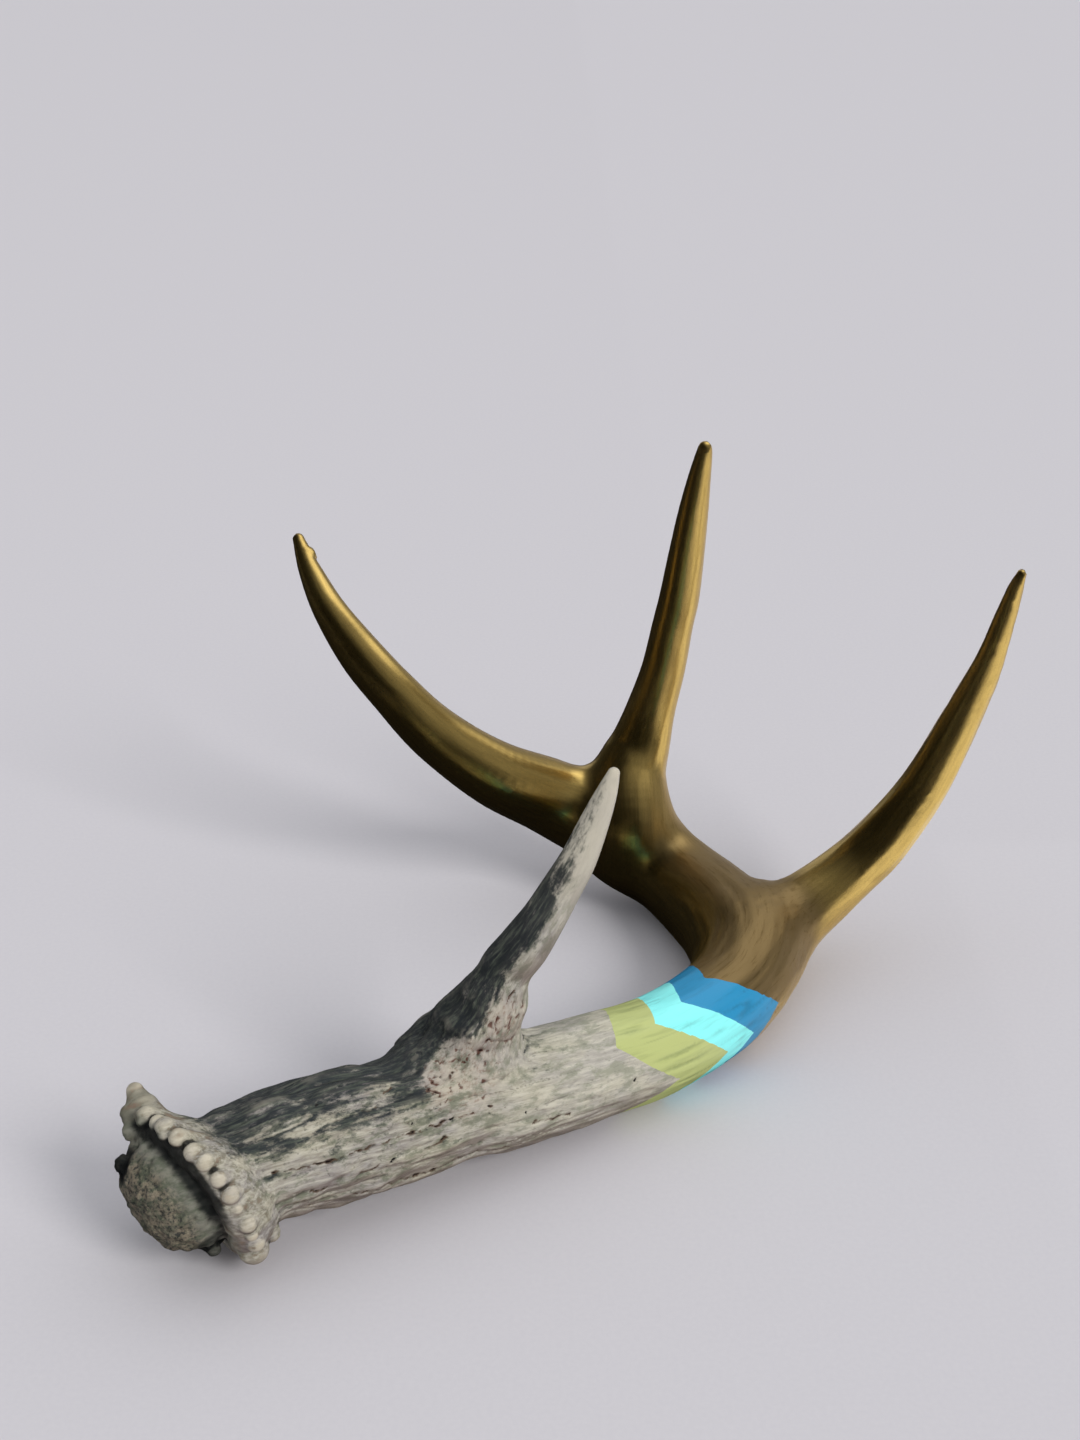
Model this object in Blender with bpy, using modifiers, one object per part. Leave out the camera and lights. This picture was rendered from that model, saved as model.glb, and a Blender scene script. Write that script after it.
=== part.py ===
"""A shed deer antler from the right side of the head, bare at the burr and painted beyond.

The antler grew as one branching piece. Its skin is made whole here, then sawn at the
main forks into seven solids, with a thin saw gap between neighbours.
X runs along the longest extent, Z is up, and the antler lies on the plane Z = 0.
"""
import math

import bmesh
import bpy
import numpy as np
from mathutils import Matrix, Vector, noise

MM = 0.001

# Core line of each branch in millimetres: x, y, z and the radius there
BEAM = [
    (-118, -103, 27, 16.5),
    (-104, -97, 28, 18.3),
    (-90, -88, 27, 19.0),
    (-76, -80, 26, 19.0),
    (-63, -73, 25, 18.1),
    (-49, -64, 24, 17.8),
    (-33, -55, 22, 17.4),
    (-15, -44, 20, 17.1),
    (-1, -35, 19, 16.7),
    (17, -23, 18, 16.5),
    (35, -4, 17, 16.4),
    (45, 11, 17, 16.8),
    (51, 30, 18, 18.7),
    (47, 53, 18, 18.4),
    (35, 82, 16.5, 16.8),
    (23, 97, 20, 16.2),
    (6, 105, 29, 15.7),
    (-16, 106, 42, 14.6),
    (-38, 95, 58, 12.3),
    (-59, 91, 76, 10.2),
    (-74, 89, 94, 8.7),
    (-86, 94, 107, 7.9),
    (-97, 101, 121, 6.0),
    (-105, 115, 131, 4.1),
    (-110, 126, 139, 2.2),
]
BROW_TINE = [
    (-50, -57, 32, 16.0),
    (-43, -57, 43, 14.2),
    (-36, -60, 58, 10.8),
    (-31, -61, 71, 8.0),
    (-25, -63, 81, 7.4),
    (-20, -64, 90, 6.6),
    (-15, -63, 99, 6.0),
    (-10, -63, 109, 5.4),
    (-5, -61, 121, 4.2),
    (-2, -60, 129, 3.1),
    (0, -59, 135, 1.8),
]
SECOND_TINE = [
    (56, 40, 17, 16.3),
    (72, 52, 24, 12.9),
    (90, 61, 35, 10.7),
    (102, 65, 46, 10.1),
    (116, 68, 66, 8.5),
    (126, 69, 89, 7.2),
    (134, 67, 113, 5.2),
    (138, 64, 133, 3.7),
    (140, 62, 145, 2.6),
    (141, 61, 150, 1.7),
]
THIRD_TINE = [
    (13, 98, 37, 15.8),
    (13, 109, 50, 13.8),
    (17, 114, 61, 11.2),
    (21, 116, 75, 9.2),
    (25, 116, 91, 8.1),
    (28, 114, 110, 7.5),
    (30, 112, 122, 7.3),
    (32, 108, 142, 6.3),
    (34, 103, 163, 4.8),
    (36, 98, 181, 2.8),
    (36, 97, 183, 1.6),
]
STEPS = 5  # points of a core line between two stations
FORK_WEB = 11 * MM  # how widely the skin webs across the crotch of a fork

# The burr is a beaded ring round the foot of the beam, tilted to the beam's own line
BURR_CENTRE = Vector((-118.5, -104.5, 27)) * MM
BURR_AXIS = Vector((0.74, 0.60, 0.31)).normalized()  # towards the beam
BURR_TOP = Vector((-0.62, 0.40, 0.68))  # rough way out to the horn on the ring
BURR_RADIUS = 21 * MM
BURR_THICKNESS = 3.9 * MM
BURR_DROOP = 3.4 * MM  # how far the ring's top sags back towards the seal
BEADS = 24
BEAD_CIRCLE = 24.8 * MM
BEAD_RADIUS = 3.4 * MM
BEAD_JITTER = 0.6 * MM
BEAD_SLIP = 0.25  # how much of its even step a bead may slip round the ring
BEAD_TURNS = (2.4, 1.7, 3.1, 2.9)  # uneven turns that set each bead's slip, reach, height and size
BURR_WEB = 4 * MM
BEAD_WEB = 1.5 * MM

# The pedicle seal is the rough domed stub below the burr
SEAL_RADIUS = 18.2 * MM
SEAL_LENGTH = 20.5 * MM
SEAL_EDGE = 7.5 * MM
SEAL_DOME = 60 * MM
SEAL_SHIFT = 2 * MM  # its middle lies this far off the ring's, towards the horn
SEAL_WEB = 2.5 * MM

# Lobes on the burr: out along the ring's top, along its axis, along its near side, radius, in millimetres
HORN = [(20, -3, 0, 6), (27, -1.5, 0, 4.8), (31.5, 0, 0, 2.8)]
LOBES = [
    (26.5, -4.5, 1, 3.5),
    (23.0, -7.0, 2, 3.2),
    (17.5, -15.5, 3, 2.6),
    (-24.5, 0, 2, 4.6),
    (-23.5, 7.0, 2, 3.6),
    (-17.5, -8.0, -3, 2.8),
]

# Relief of the bare bone, fading out where the paint starts
PEARL_HEIGHT = 1.2 * MM
PEARL_WIDTH = 8 * MM
PEARL_STRETCH = 2.6  # how many times longer than wide along the beam
SEAL_GRAIN = 0.5 * MM
GRAIN_SIZE = 4 * MM
BARE_LENGTH = 150 * MM
FADE_LENGTH = 60 * MM
SMOOTH_HEIGHT = 20 * MM  # above the burr's middle the brow tine soon grows smooth
GRAIN_WAY = Vector((0.86, 0.51, -0.05)).normalized()

# Mesh sizes
TUBE_ROUNDNESS = 4
SEAL_SIDES = 32
RING_SIDES = 48
BALL_ROUNDNESS = 2
SAME_POINT = 0.01 * MM  # points nearer to each other than this become one
VOXEL = 1.8 * MM
PROBE = 0.05 * MM  # step over which the skin's slope is measured
LEAST_STEEP = 0.25  # a squared slope flatter than this is not trusted
FIRST_ROUNDS = 4  # moves on to the skin before the mesh is evened out
LAST_ROUNDS = 3  # and after it
EVENING = 0.5  # how far a point goes towards the middle of its neighbours
TRIANGLES = 8400
CREASE = math.radians(50)  # edges sharper than this stay sharp in the shading
FLAT_SKIM = 0.25 * MM  # what lies lower than this is pressed flat for the antler to rest on

# Saw cuts at the forks: branch, millimetres along its core line, half width in millimetres
SAW_GAP = 0.3 * MM
SAW_CUTS = [
    ("beam", 112, 30),
    ("beam", 250, 27),
    ("beam", 344, 26),
    ("brow_tine", 30, 20),
    ("second_tine", 36, 20),
    ("third_tine", 31, 20),
]

# Each solid: branch and millimetres along it where its middle lies, then its finish
SOLIDS = {
    "lower_beam": ("beam", 55, "bare"),
    "mid_beam": ("beam", 185, "banded"),
    "upper_beam": ("beam", 295, "gold"),
    "beam_tip": ("beam", 410, "gold"),
    "brow_tine": ("brow_tine", 72, "bare"),
    "second_tine": ("second_tine", 105, "gold"),
    "third_tine": ("third_tine", 95, "gold"),
}
FINISHES = {
    "bare": ((0.52, 0.49, 0.40, 1), 0.65, 0.0),
    "banded": ((0.15, 0.55, 0.62, 1), 0.55, 0.0),
    "gold": ((0.42, 0.29, 0.10, 1), 0.32, 0.9),
}


def core_line(stations):
    """Rows of x, y, z and radius in metres on a smooth curve through the stations."""
    knots = np.array(stations, float) * MM
    knots = np.vstack([2 * knots[0] - knots[1], knots, 2 * knots[-1] - knots[-2]])
    t = np.linspace(0, 1, STEPS, endpoint=False)[:, None]
    rows = []
    for a, b, c, d in zip(knots, knots[1:], knots[2:], knots[3:]):
        bend = (2 * a - 5 * b + 4 * c - d) * t**2 + (3 * b - a - 3 * c + d) * t**3
        rows.append(0.5 * (2 * b + (c - a) * t + bend))
    rows.append(knots[-2:-1])
    return np.vstack(rows)


def burr_frame():
    """The ring's three directions: out to the horn, along the axis, and to the near side."""
    top = (BURR_TOP - BURR_AXIS * BURR_TOP.dot(BURR_AXIS)).normalized()
    return top, BURR_AXIS, BURR_AXIS.cross(top)


def burr_point(out, along, near):
    """A point given in millimetres in the burr's own directions, in metres."""
    top, axis, side = burr_frame()
    return BURR_CENTRE + (top * out + axis * along + side * near) * MM


LINES = {
    "beam": core_line(BEAM),
    "brow_tine": core_line(BROW_TINE),
    "second_tine": core_line(SECOND_TINE),
    "third_tine": core_line(THIRD_TINE),
}


def distance_to_line(points, rows):
    """Distance from each point to the round skin about a core line."""
    nearest = np.full(len(points), np.inf)
    for start, end in zip(rows, rows[1:]):
        way = end[:3] - start[:3]
        along = np.clip((points - start[:3]) @ way / way.dot(way), 0, 1)
        radius = start[3] + along * (end[3] - start[3])
        gap = np.linalg.norm(points - start[:3] - along[:, None] * way, axis=1) - radius
        nearest = np.minimum(nearest, gap)
    return nearest


def distance_to_ball(points, centre, radius):
    return np.linalg.norm(points - np.array(centre), axis=1) - radius


def distance_to_ring(points):
    """Distance to the plain ring under the burr's beads."""
    top, axis, _ = (np.array(way) for way in burr_frame())
    offset = points - np.array(BURR_CENTRE)
    along = offset @ axis
    out = np.linalg.norm(offset - along[:, None] * axis, axis=1)
    droop = BURR_DROOP * np.clip(offset @ top / BURR_RADIUS, 0, 1)
    return np.hypot(out - BURR_RADIUS, along + droop) - BURR_THICKNESS


def distance_to_seal(points):
    """Distance to the pedicle seal, a stub with a rounded edge and a domed end."""
    offset = points - np.array(BURR_CENTRE + burr_frame()[0] * SEAL_SHIFT)
    along = -(offset @ np.array(BURR_AXIS))
    out = np.linalg.norm(offset + along[:, None] * np.array(BURR_AXIS), axis=1)
    past_side = out - (SEAL_RADIUS - SEAL_EDGE)
    past_end = np.maximum(along + out**2 / SEAL_DOME - (SEAL_LENGTH - SEAL_EDGE), -along)
    inside = np.minimum(np.maximum(past_side, past_end), 0)
    return inside + np.hypot(np.maximum(past_side, 0), np.maximum(past_end, 0)) - SEAL_EDGE


def merged(first, second, web):
    """Distance to two skins run together, with a web of the given width between them."""
    share = np.clip(0.5 + 0.5 * (second - first) / web, 0, 1)
    return second * (1 - share) + first * share - web * share * (1 - share)


def beads():
    """Centres and radii of the beads round the burr, each a little off its even place."""
    top, axis, side = burr_frame()
    slip_turn, out_turn, along_turn, size_turn = BEAD_TURNS
    for i in range(BEADS):
        angle = 2 * math.pi * (i + BEAD_SLIP * math.sin(slip_turn * i)) / BEADS
        out = BEAD_CIRCLE + BEAD_JITTER * math.sin(out_turn * i)
        along = BEAD_JITTER * math.sin(along_turn * i) - BURR_DROOP * max(math.cos(angle), 0)
        radius = BEAD_RADIUS + BEAD_JITTER * math.cos(size_turn * i)
        way = top * math.cos(angle) + side * math.sin(angle)
        yield BURR_CENTRE + way * out + axis * along, radius


def horn_line():
    """Core line of the blunt horn that stands out from the burr."""
    return np.array([(*burr_point(*row[:3]), row[3] * MM) for row in HORN])


def skin_distance(points):
    """Distance from each point to the smooth skin of the whole antler."""
    skin = distance_to_line(points, LINES["beam"])
    for name in ("brow_tine", "second_tine", "third_tine"):
        skin = merged(skin, distance_to_line(points, LINES[name]), FORK_WEB)
    skin = merged(skin, distance_to_ring(points), BURR_WEB)
    skin = merged(skin, distance_to_seal(points), SEAL_WEB)
    skin = merged(skin, distance_to_line(points, horn_line()), SEAL_WEB)
    for centre, radius in beads():
        skin = merged(skin, distance_to_ball(points, centre, radius), BEAD_WEB)
    for out, along, near, radius in LOBES:
        centre = burr_point(out, along, near)
        skin = merged(skin, distance_to_ball(points, centre, radius * MM), BEAD_WEB)
    return skin


def bone_relief(point):
    """Height of the pearling and of the seal's rough grain at a point of the skin."""
    offset = point - BURR_CENTRE
    below = offset.dot(BURR_AXIS)
    if below < -BURR_THICKNESS:
        return SEAL_GRAIN * noise.noise(point / GRAIN_SIZE)
    reach = offset.length + max(offset.z - SMOOTH_HEIGHT, 0)
    fade = min(max((BARE_LENGTH - reach) / FADE_LENGTH, 0), 1)
    along = GRAIN_WAY * point.dot(GRAIN_WAY)
    where = (point - along + along / PEARL_STRETCH) / PEARL_WIDTH
    return PEARL_HEIGHT * fade * noise.noise(where)


def tube(name, rows):
    """A closed round tube about a core line, made from a curve and turned into a mesh."""
    curve = bpy.data.curves.new(name, "CURVE")
    curve.dimensions = "3D"
    curve.bevel_depth = 1
    curve.bevel_resolution = TUBE_ROUNDNESS
    curve.use_fill_caps = True
    spline = curve.splines.new("POLY")
    spline.points.add(len(rows) - 1)
    for point, (x, y, z, radius) in zip(spline.points, rows):
        point.co = (x, y, z, 1)
        point.radius = radius
    guide = bpy.data.objects.new(name, curve)
    bpy.context.scene.collection.objects.link(guide)
    bpy.context.view_layer.update()
    evaluated = guide.evaluated_get(bpy.context.evaluated_depsgraph_get())
    mesh = bpy.data.meshes.new_from_object(evaluated)
    mesh.transform(guide.matrix_world)
    bpy.data.objects.remove(guide)
    return mesh


def blank():
    """The rough antler: tubes, ring, seal and lobes in one mesh, still overlapping."""
    rough = bmesh.new()
    for name, rows in LINES.items():
        rough.from_mesh(tube(name, rows))
    rough.from_mesh(tube("horn", horn_line()))
    turn = BURR_AXIS.to_track_quat("Z", "Y").to_matrix().to_4x4()
    foot = Matrix.Translation(BURR_CENTRE - BURR_AXIS * (SEAL_LENGTH / 2)) @ turn
    bmesh.ops.create_cone(rough, cap_ends=True, segments=SEAL_SIDES, radius1=SEAL_RADIUS,
                          radius2=SEAL_RADIUS, depth=SEAL_LENGTH, matrix=foot)
    bmesh.ops.create_cone(rough, cap_ends=True, segments=RING_SIDES, radius1=BEAD_CIRCLE,
                          radius2=BEAD_CIRCLE, depth=BURR_THICKNESS,
                          matrix=Matrix.Translation(BURR_CENTRE) @ turn)
    balls = list(beads())
    balls += [(burr_point(out, along, near), radius * MM) for out, along, near, radius in LOBES]
    for centre, radius in balls:
        bmesh.ops.create_icosphere(rough, subdivisions=BALL_ROUNDNESS, radius=radius,
                                   matrix=Matrix.Translation(centre))
    bmesh.ops.remove_doubles(rough, verts=rough.verts, dist=SAME_POINT)
    mesh = bpy.data.meshes.new("antler blank")
    rough.to_mesh(mesh)
    rough.free()
    return mesh


def link(name, mesh, collection):
    thing = bpy.data.objects.new(name, mesh)
    collection.objects.link(thing)
    return thing


def finished_mesh(thing):
    """The mesh of an object with its modifiers, after which the object is removed."""
    bpy.context.view_layer.update()
    evaluated = thing.evaluated_get(bpy.context.evaluated_depsgraph_get())
    mesh = bpy.data.meshes.new_from_object(evaluated)
    bpy.data.objects.remove(thing)
    return mesh


def read_vectors(items, field):
    values = np.empty(len(items) * 3)
    items.foreach_get(field, values)
    return values.reshape(-1, 3)


def place_points(mesh, points):
    mesh.vertices.foreach_set("co", points.ravel())
    mesh.update()


def press_to_skin(mesh, rounds):
    """Move every vertex the shortest way on to the smooth skin."""
    for _ in range(rounds):
        points = read_vectors(mesh.vertices, "co")
        distance = skin_distance(points)
        slope = np.empty_like(points)
        for axis in range(3):
            probe = points.copy()
            probe[:, axis] += PROBE
            slope[:, axis] = (skin_distance(probe) - distance) / PROBE
        steepness = np.maximum((slope**2).sum(axis=1), LEAST_STEEP)
        step = np.clip(distance / steepness, -VOXEL, VOXEL)
        place_points(mesh, points - slope * step[:, None])


def even_out(mesh):
    """Relax the mesh once, so that its faces stay even where branches meet."""
    relaxed = bmesh.new()
    relaxed.from_mesh(mesh)
    bmesh.ops.smooth_vert(relaxed, verts=relaxed.verts, factor=EVENING,
                          use_axis_x=True, use_axis_y=True, use_axis_z=True)
    relaxed.to_mesh(mesh)
    relaxed.free()
    mesh.update()


def raise_relief(mesh):
    points = read_vectors(mesh.vertices, "co")
    normals = read_vectors(mesh.vertex_normals, "vector")
    heights = np.array([bone_relief(Vector(point)) for point in points])
    place_points(mesh, points + normals * heights[:, None])


def press_flat(mesh):
    """Flatten what would reach below the ground, which leaves the small faces it rests on."""
    points = read_vectors(mesh.vertices, "co")
    points[points[:, 2] < FLAT_SKIM, 2] = 0
    place_points(mesh, points)


def loose_pieces(mesh):
    """Each connected body of a mesh, as a bmesh of its own."""
    whole = bmesh.new()
    whole.from_mesh(mesh)
    unseen = set(whole.verts)
    while unseen:
        body = set()
        edge = [unseen.pop()]
        while edge:
            vertex = edge.pop()
            body.add(vertex.index)
            for spoke in vertex.link_edges:
                other = spoke.other_vert(vertex)
                if other in unseen:
                    unseen.remove(other)
                    edge.append(other)
        piece = whole.copy()
        piece.verts.ensure_lookup_table()
        others = [vertex for vertex in piece.verts if vertex.index not in body]
        bmesh.ops.delete(piece, geom=others, context="VERTS")
        yield piece
    whole.free()


def outer_skin(mesh):
    """The mesh without any closed pocket that lies inside its largest body."""
    bodies = sorted(loose_pieces(mesh), key=lambda body: len(body.verts))
    bodies[-1].to_mesh(mesh)
    for body in bodies:
        body.free()
    return mesh


def whole_antler(collection):
    """The antler in one closed mesh with few faces."""
    thing = link("antler", blank(), collection)
    remesh = thing.modifiers.new("remesh", "REMESH")
    remesh.mode = "VOXEL"
    remesh.voxel_size = VOXEL
    mesh = outer_skin(finished_mesh(thing))
    press_to_skin(mesh, FIRST_ROUNDS)
    even_out(mesh)
    press_to_skin(mesh, LAST_ROUNDS)
    raise_relief(mesh)
    press_flat(mesh)
    thing = link("antler", mesh, collection)
    fewer = thing.modifiers.new("fewer faces", "DECIMATE")
    fewer.ratio = TRIANGLES / (2 * len(mesh.polygons))
    mesh = finished_mesh(thing)
    press_flat(mesh)
    return mesh


def along_line(name, distance):
    """The point of a core line at a distance along it, and the line's direction there."""
    rows = LINES[name][:, :3]
    lengths = np.concatenate([[0], np.cumsum(np.linalg.norm(np.diff(rows, axis=0), axis=1))])
    point = Vector([np.interp(distance, lengths, rows[:, axis]) for axis in range(3)])
    i = min(max(int(np.searchsorted(lengths, distance)), 1), len(rows) - 1)
    return point, Vector(rows[i] - rows[i - 1]).normalized()


def saw_blade(name, distance, reach, collection):
    """A thin plate square across a branch."""
    point, way = along_line(name, distance * MM)
    plate = bmesh.new()
    size = Matrix.Diagonal((2 * reach * MM, 2 * reach * MM, SAW_GAP, 1))
    turn = way.to_track_quat("Z", "Y").to_matrix().to_4x4()
    bmesh.ops.create_cube(plate, size=1, matrix=Matrix.Translation(point) @ turn @ size)
    mesh = bpy.data.meshes.new("blade")
    plate.to_mesh(mesh)
    plate.free()
    blade = link("blade", mesh, collection)
    blade.hide_render = True
    blade.display_type = "WIRE"
    return blade


def saw_at_forks(mesh, parts, cutters):
    """Cut the antler across at each fork."""
    for name, distance, reach in SAW_CUTS:
        thing = link("antler", mesh, parts)
        blade = saw_blade(name, distance, reach, cutters)
        cut = thing.modifiers.new("saw cut", "BOOLEAN")
        cut.operation = "DIFFERENCE"
        cut.solver = "MANIFOLD"
        cut.object = blade
        mesh = finished_mesh(thing)
        bpy.data.objects.remove(blade)
    return mesh


def finish(name, kind):
    """A Principled material of the given kind for one solid."""
    colour, roughness, metallic = FINISHES[kind]
    material = bpy.data.materials.new(f"{name} {kind}")
    material.use_nodes = True
    shader = material.node_tree.nodes["Principled BSDF"]
    shader.inputs["Base Color"].default_value = colour
    shader.inputs["Roughness"].default_value = roughness
    shader.inputs["Metallic"].default_value = metallic
    return material


def name_pieces(mesh, parts):
    """Give each sawn piece its name and finish by the core point that lies nearest to its middle."""
    middles = {name: along_line(line, at * MM)[0] for name, (line, at, _) in SOLIDS.items()}
    for piece in loose_pieces(mesh):
        centre = sum((vertex.co for vertex in piece.verts), Vector()) / len(piece.verts)
        name = min(middles, key=lambda key: (middles[key] - centre).length)
        del middles[name]
        solid = bpy.data.meshes.new(name)
        piece.to_mesh(solid)
        piece.free()
        solid.shade_smooth()
        solid.set_sharp_from_angle(angle=CREASE)
        solid.materials.clear()
        solid.materials.append(finish(name, SOLIDS[name][2]))
        link(name, solid, parts)


def main():
    for thing in list(bpy.context.scene.objects):
        bpy.data.objects.remove(thing)
    parts = bpy.data.collections.new("painted_antler")
    cutters = bpy.data.collections.new("cutters")
    bpy.context.scene.collection.children.link(parts)
    bpy.context.scene.collection.children.link(cutters)
    mesh = saw_at_forks(whole_antler(parts), parts, cutters)
    name_pieces(mesh, parts)


main()
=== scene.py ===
# %% [markdown]
# # A shed antler, bare at the burr, banded with paint and gold beyond
# This lesson dresses seven rough solids of one antler as a finished piece. Antler is bone that grew as one
# branching thing, so its whole skin is made in one mesh first. It is parted at the forks at the very end.
# Distances in the lists are millimetres, and everything in Blender is in metres.

# %% The frame that everything fits
import math

import bmesh
import bpy
import numpy as np
from mathutils import Matrix, Vector, noise


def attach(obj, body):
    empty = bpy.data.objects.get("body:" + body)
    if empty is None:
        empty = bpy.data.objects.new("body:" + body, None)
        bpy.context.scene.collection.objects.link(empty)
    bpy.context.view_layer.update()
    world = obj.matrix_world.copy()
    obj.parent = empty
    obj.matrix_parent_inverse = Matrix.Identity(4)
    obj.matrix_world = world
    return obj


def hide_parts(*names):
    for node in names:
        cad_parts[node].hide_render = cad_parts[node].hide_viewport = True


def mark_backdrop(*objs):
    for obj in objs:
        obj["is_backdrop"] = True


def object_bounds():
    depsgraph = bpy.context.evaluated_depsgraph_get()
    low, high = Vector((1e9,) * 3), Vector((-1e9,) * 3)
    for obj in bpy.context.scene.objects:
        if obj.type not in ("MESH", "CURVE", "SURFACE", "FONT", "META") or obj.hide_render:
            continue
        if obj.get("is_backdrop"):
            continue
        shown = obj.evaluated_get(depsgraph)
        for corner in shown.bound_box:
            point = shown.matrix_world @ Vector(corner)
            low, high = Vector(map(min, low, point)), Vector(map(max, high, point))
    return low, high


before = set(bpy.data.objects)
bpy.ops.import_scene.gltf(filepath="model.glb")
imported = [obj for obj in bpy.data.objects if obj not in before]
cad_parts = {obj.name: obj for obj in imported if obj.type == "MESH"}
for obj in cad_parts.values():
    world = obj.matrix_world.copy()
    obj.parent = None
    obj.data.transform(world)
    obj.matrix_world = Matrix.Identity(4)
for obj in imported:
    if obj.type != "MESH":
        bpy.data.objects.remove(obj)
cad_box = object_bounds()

MM = 0.001


def new_object(name, data):
    """An object of the scene about a mesh, a curve, a light or a camera."""
    thing = bpy.data.objects.new(name, data)
    bpy.context.scene.collection.objects.link(thing)
    return thing


print("solids in the frame:", len(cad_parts))

# %% [markdown]
# ## The core lines
# A branch is round and tapers slowly, so a line of stations with a radius at each says all about its form.
# A lathe or a bent cylinder could give one branch, but not four that grow out of each other. The stations
# are joined with a smooth curve that runs through every one of them.

# %% Stations: x, y, z and radius
BEAM = [
    (-118, -103, 27, 16.5), (-104, -97, 28, 18.3), (-90, -88, 27, 19.0), (-76, -80, 26, 19.0),
    (-63, -73, 25, 18.1), (-49, -64, 24, 17.8), (-33, -55, 22, 17.4), (-15, -44, 20, 17.1),
    (-1, -35, 19, 16.7), (17, -23, 18, 16.5), (35, -4, 17, 16.4), (45, 11, 17, 16.8),
    (51, 30, 18, 18.7), (47, 53, 18, 18.4), (35, 82, 16.5, 16.8), (23, 97, 20, 16.2),
    (6, 105, 29, 15.7), (-16, 106, 42, 14.6), (-38, 95, 58, 12.3), (-59, 91, 76, 10.2),
    (-74, 89, 94, 8.7), (-86, 94, 107, 7.9), (-97, 101, 121, 6.0), (-105, 115, 131, 4.1),
    (-110, 126, 139, 2.2),
]
BROW_TINE = [
    (-50, -57, 32, 16.0), (-43, -57, 43, 14.2), (-36, -60, 58, 10.8), (-31, -61, 71, 8.0),
    (-25, -63, 81, 7.4), (-20, -64, 90, 6.6), (-15, -63, 99, 6.0), (-10, -63, 109, 5.4),
    (-5, -61, 121, 4.2), (-2, -60, 129, 3.1), (0, -59, 135, 1.8),
]
SECOND_TINE = [
    (56, 40, 17, 16.3), (72, 52, 24, 12.9), (90, 61, 35, 10.7), (102, 65, 46, 10.1),
    (116, 68, 66, 8.5), (126, 69, 89, 7.2), (134, 67, 113, 5.2), (138, 64, 133, 3.7),
    (140, 62, 145, 2.6), (141, 61, 150, 1.7),
]
THIRD_TINE = [
    (13, 99.5, 26, 15.0), (13, 98, 37, 15.8), (13, 109, 50, 13.8), (17, 114, 61, 11.2), (21, 116, 75, 9.2),
    (25, 116, 91, 8.1), (28, 114, 110, 7.5), (30, 112, 122, 7.3), (32, 108, 142, 6.3),
    (34, 103, 163, 4.8), (36, 98, 181, 2.8), (36, 97, 183, 1.6),
]
STEPS = 8  # points of a core line between two stations


def core_line(stations):
    """Rows of x, y, z and radius in metres on a smooth curve through the stations."""
    knots = np.array(stations, float) * MM
    knots = np.vstack([2 * knots[0] - knots[1], knots, 2 * knots[-1] - knots[-2]])
    t = np.linspace(0, 1, STEPS, endpoint=False)[:, None]
    rows = []
    for a, b, c, d in zip(knots, knots[1:], knots[2:], knots[3:]):
        bend = (2 * a - 5 * b + 4 * c - d) * t**2 + (3 * b - a - 3 * c + d) * t**3
        rows.append(0.5 * (2 * b + (c - a) * t + bend))
    rows.append(knots[-2:-1])
    return np.vstack(rows)


TINES = ("brow_tine", "second_tine", "third_tine")
STATIONS = zip(("beam", *TINES), (BEAM, BROW_TINE, SECOND_TINE, THIRD_TINE))
LINES = {name: core_line(stations) for name, stations in STATIONS}

# %% How long each branch is, and which way it faces


def line_frame(rows):
    """Length up to each row, and three directions there: along, up-side and near-side.

    The side is carried along the line and straightened at each step, so it never twists.
    """
    places = rows[:, :3]
    lengths = np.concatenate([[0], np.cumsum(np.linalg.norm(np.diff(places, axis=0), axis=1))])
    along = np.gradient(places, axis=0)
    along /= np.linalg.norm(along, axis=1)[:, None]
    side = np.array([0.0, 0.0, 1.0])
    sides = []
    for way in along:
        side = side - way * side.dot(way)
        side /= np.linalg.norm(side)
        sides.append(side)
    sides = np.array(sides)
    return lengths, along, sides, np.cross(along, sides)


FRAMES = {name: line_frame(rows) for name, rows in LINES.items()}
for name, (lengths, *_) in FRAMES.items():
    print(f"{name} is {lengths[-1] / MM:.0f} mm long along its core")


def along_line(name, distance):
    """The point of a core line at a distance along it, and the line's direction there."""
    rows, (lengths, along, _, _) = LINES[name], FRAMES[name]
    point = Vector([np.interp(distance, lengths, rows[:, axis]) for axis in range(3)])
    way = Vector([np.interp(distance, lengths, along[:, axis]) for axis in range(3)])
    return point, way.normalized()

# %% [markdown]
# ## The burr and the seal
# The burr is the beaded ring at the foot of the antler, and the seal is the rough domed stub that sat on the
# skull. Its beads are ridges that run from the ring's edge a little way up the beam, like the strands of a
# rope. An array of balls on the ring would look like a necklace. Here each bead is a short tapering peg with
# its own place and size, and all of them melt into the ring with a narrow web.

# %% Sizes of the burr and the seal
BURR_CENTRE = Vector((-118.5, -104.5, 27)) * MM
BURR_AXIS = Vector((0.74, 0.60, 0.31)).normalized()  # towards the beam
BURR_TOP = Vector((-0.62, 0.40, 0.68))  # rough way out to the horn on the ring
CENTRE, AXIS = np.array(BURR_CENTRE), np.array(BURR_AXIS)  # the same for sums over many points
BURR_RADIUS = 21 * MM
BURR_THICKNESS = 3.4 * MM
BURR_DROOP = 3.4 * MM  # how far the ring's top sags back towards the seal
CALM_ANGLE = math.radians(140)  # on this side the ring is thicker and nearly without beads
CALM_SWELL = 1.3 * MM
COLLAR_RADIUS = 17.5 * MM  # a second ring over the first makes the flare on to the beam
COLLAR_RISE = 4.5 * MM
COLLAR_THICKNESS = 4.8 * MM
BEADS = 30
BEAD_CIRCLE = 25.2 * MM
BEAD_RADIUS = 3.0 * MM
BEAD_JITTER = 0.5 * MM
BEAD_SWAY = 0.12  # how far a bead strays from its even place, as a share of the gap to the next
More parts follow.
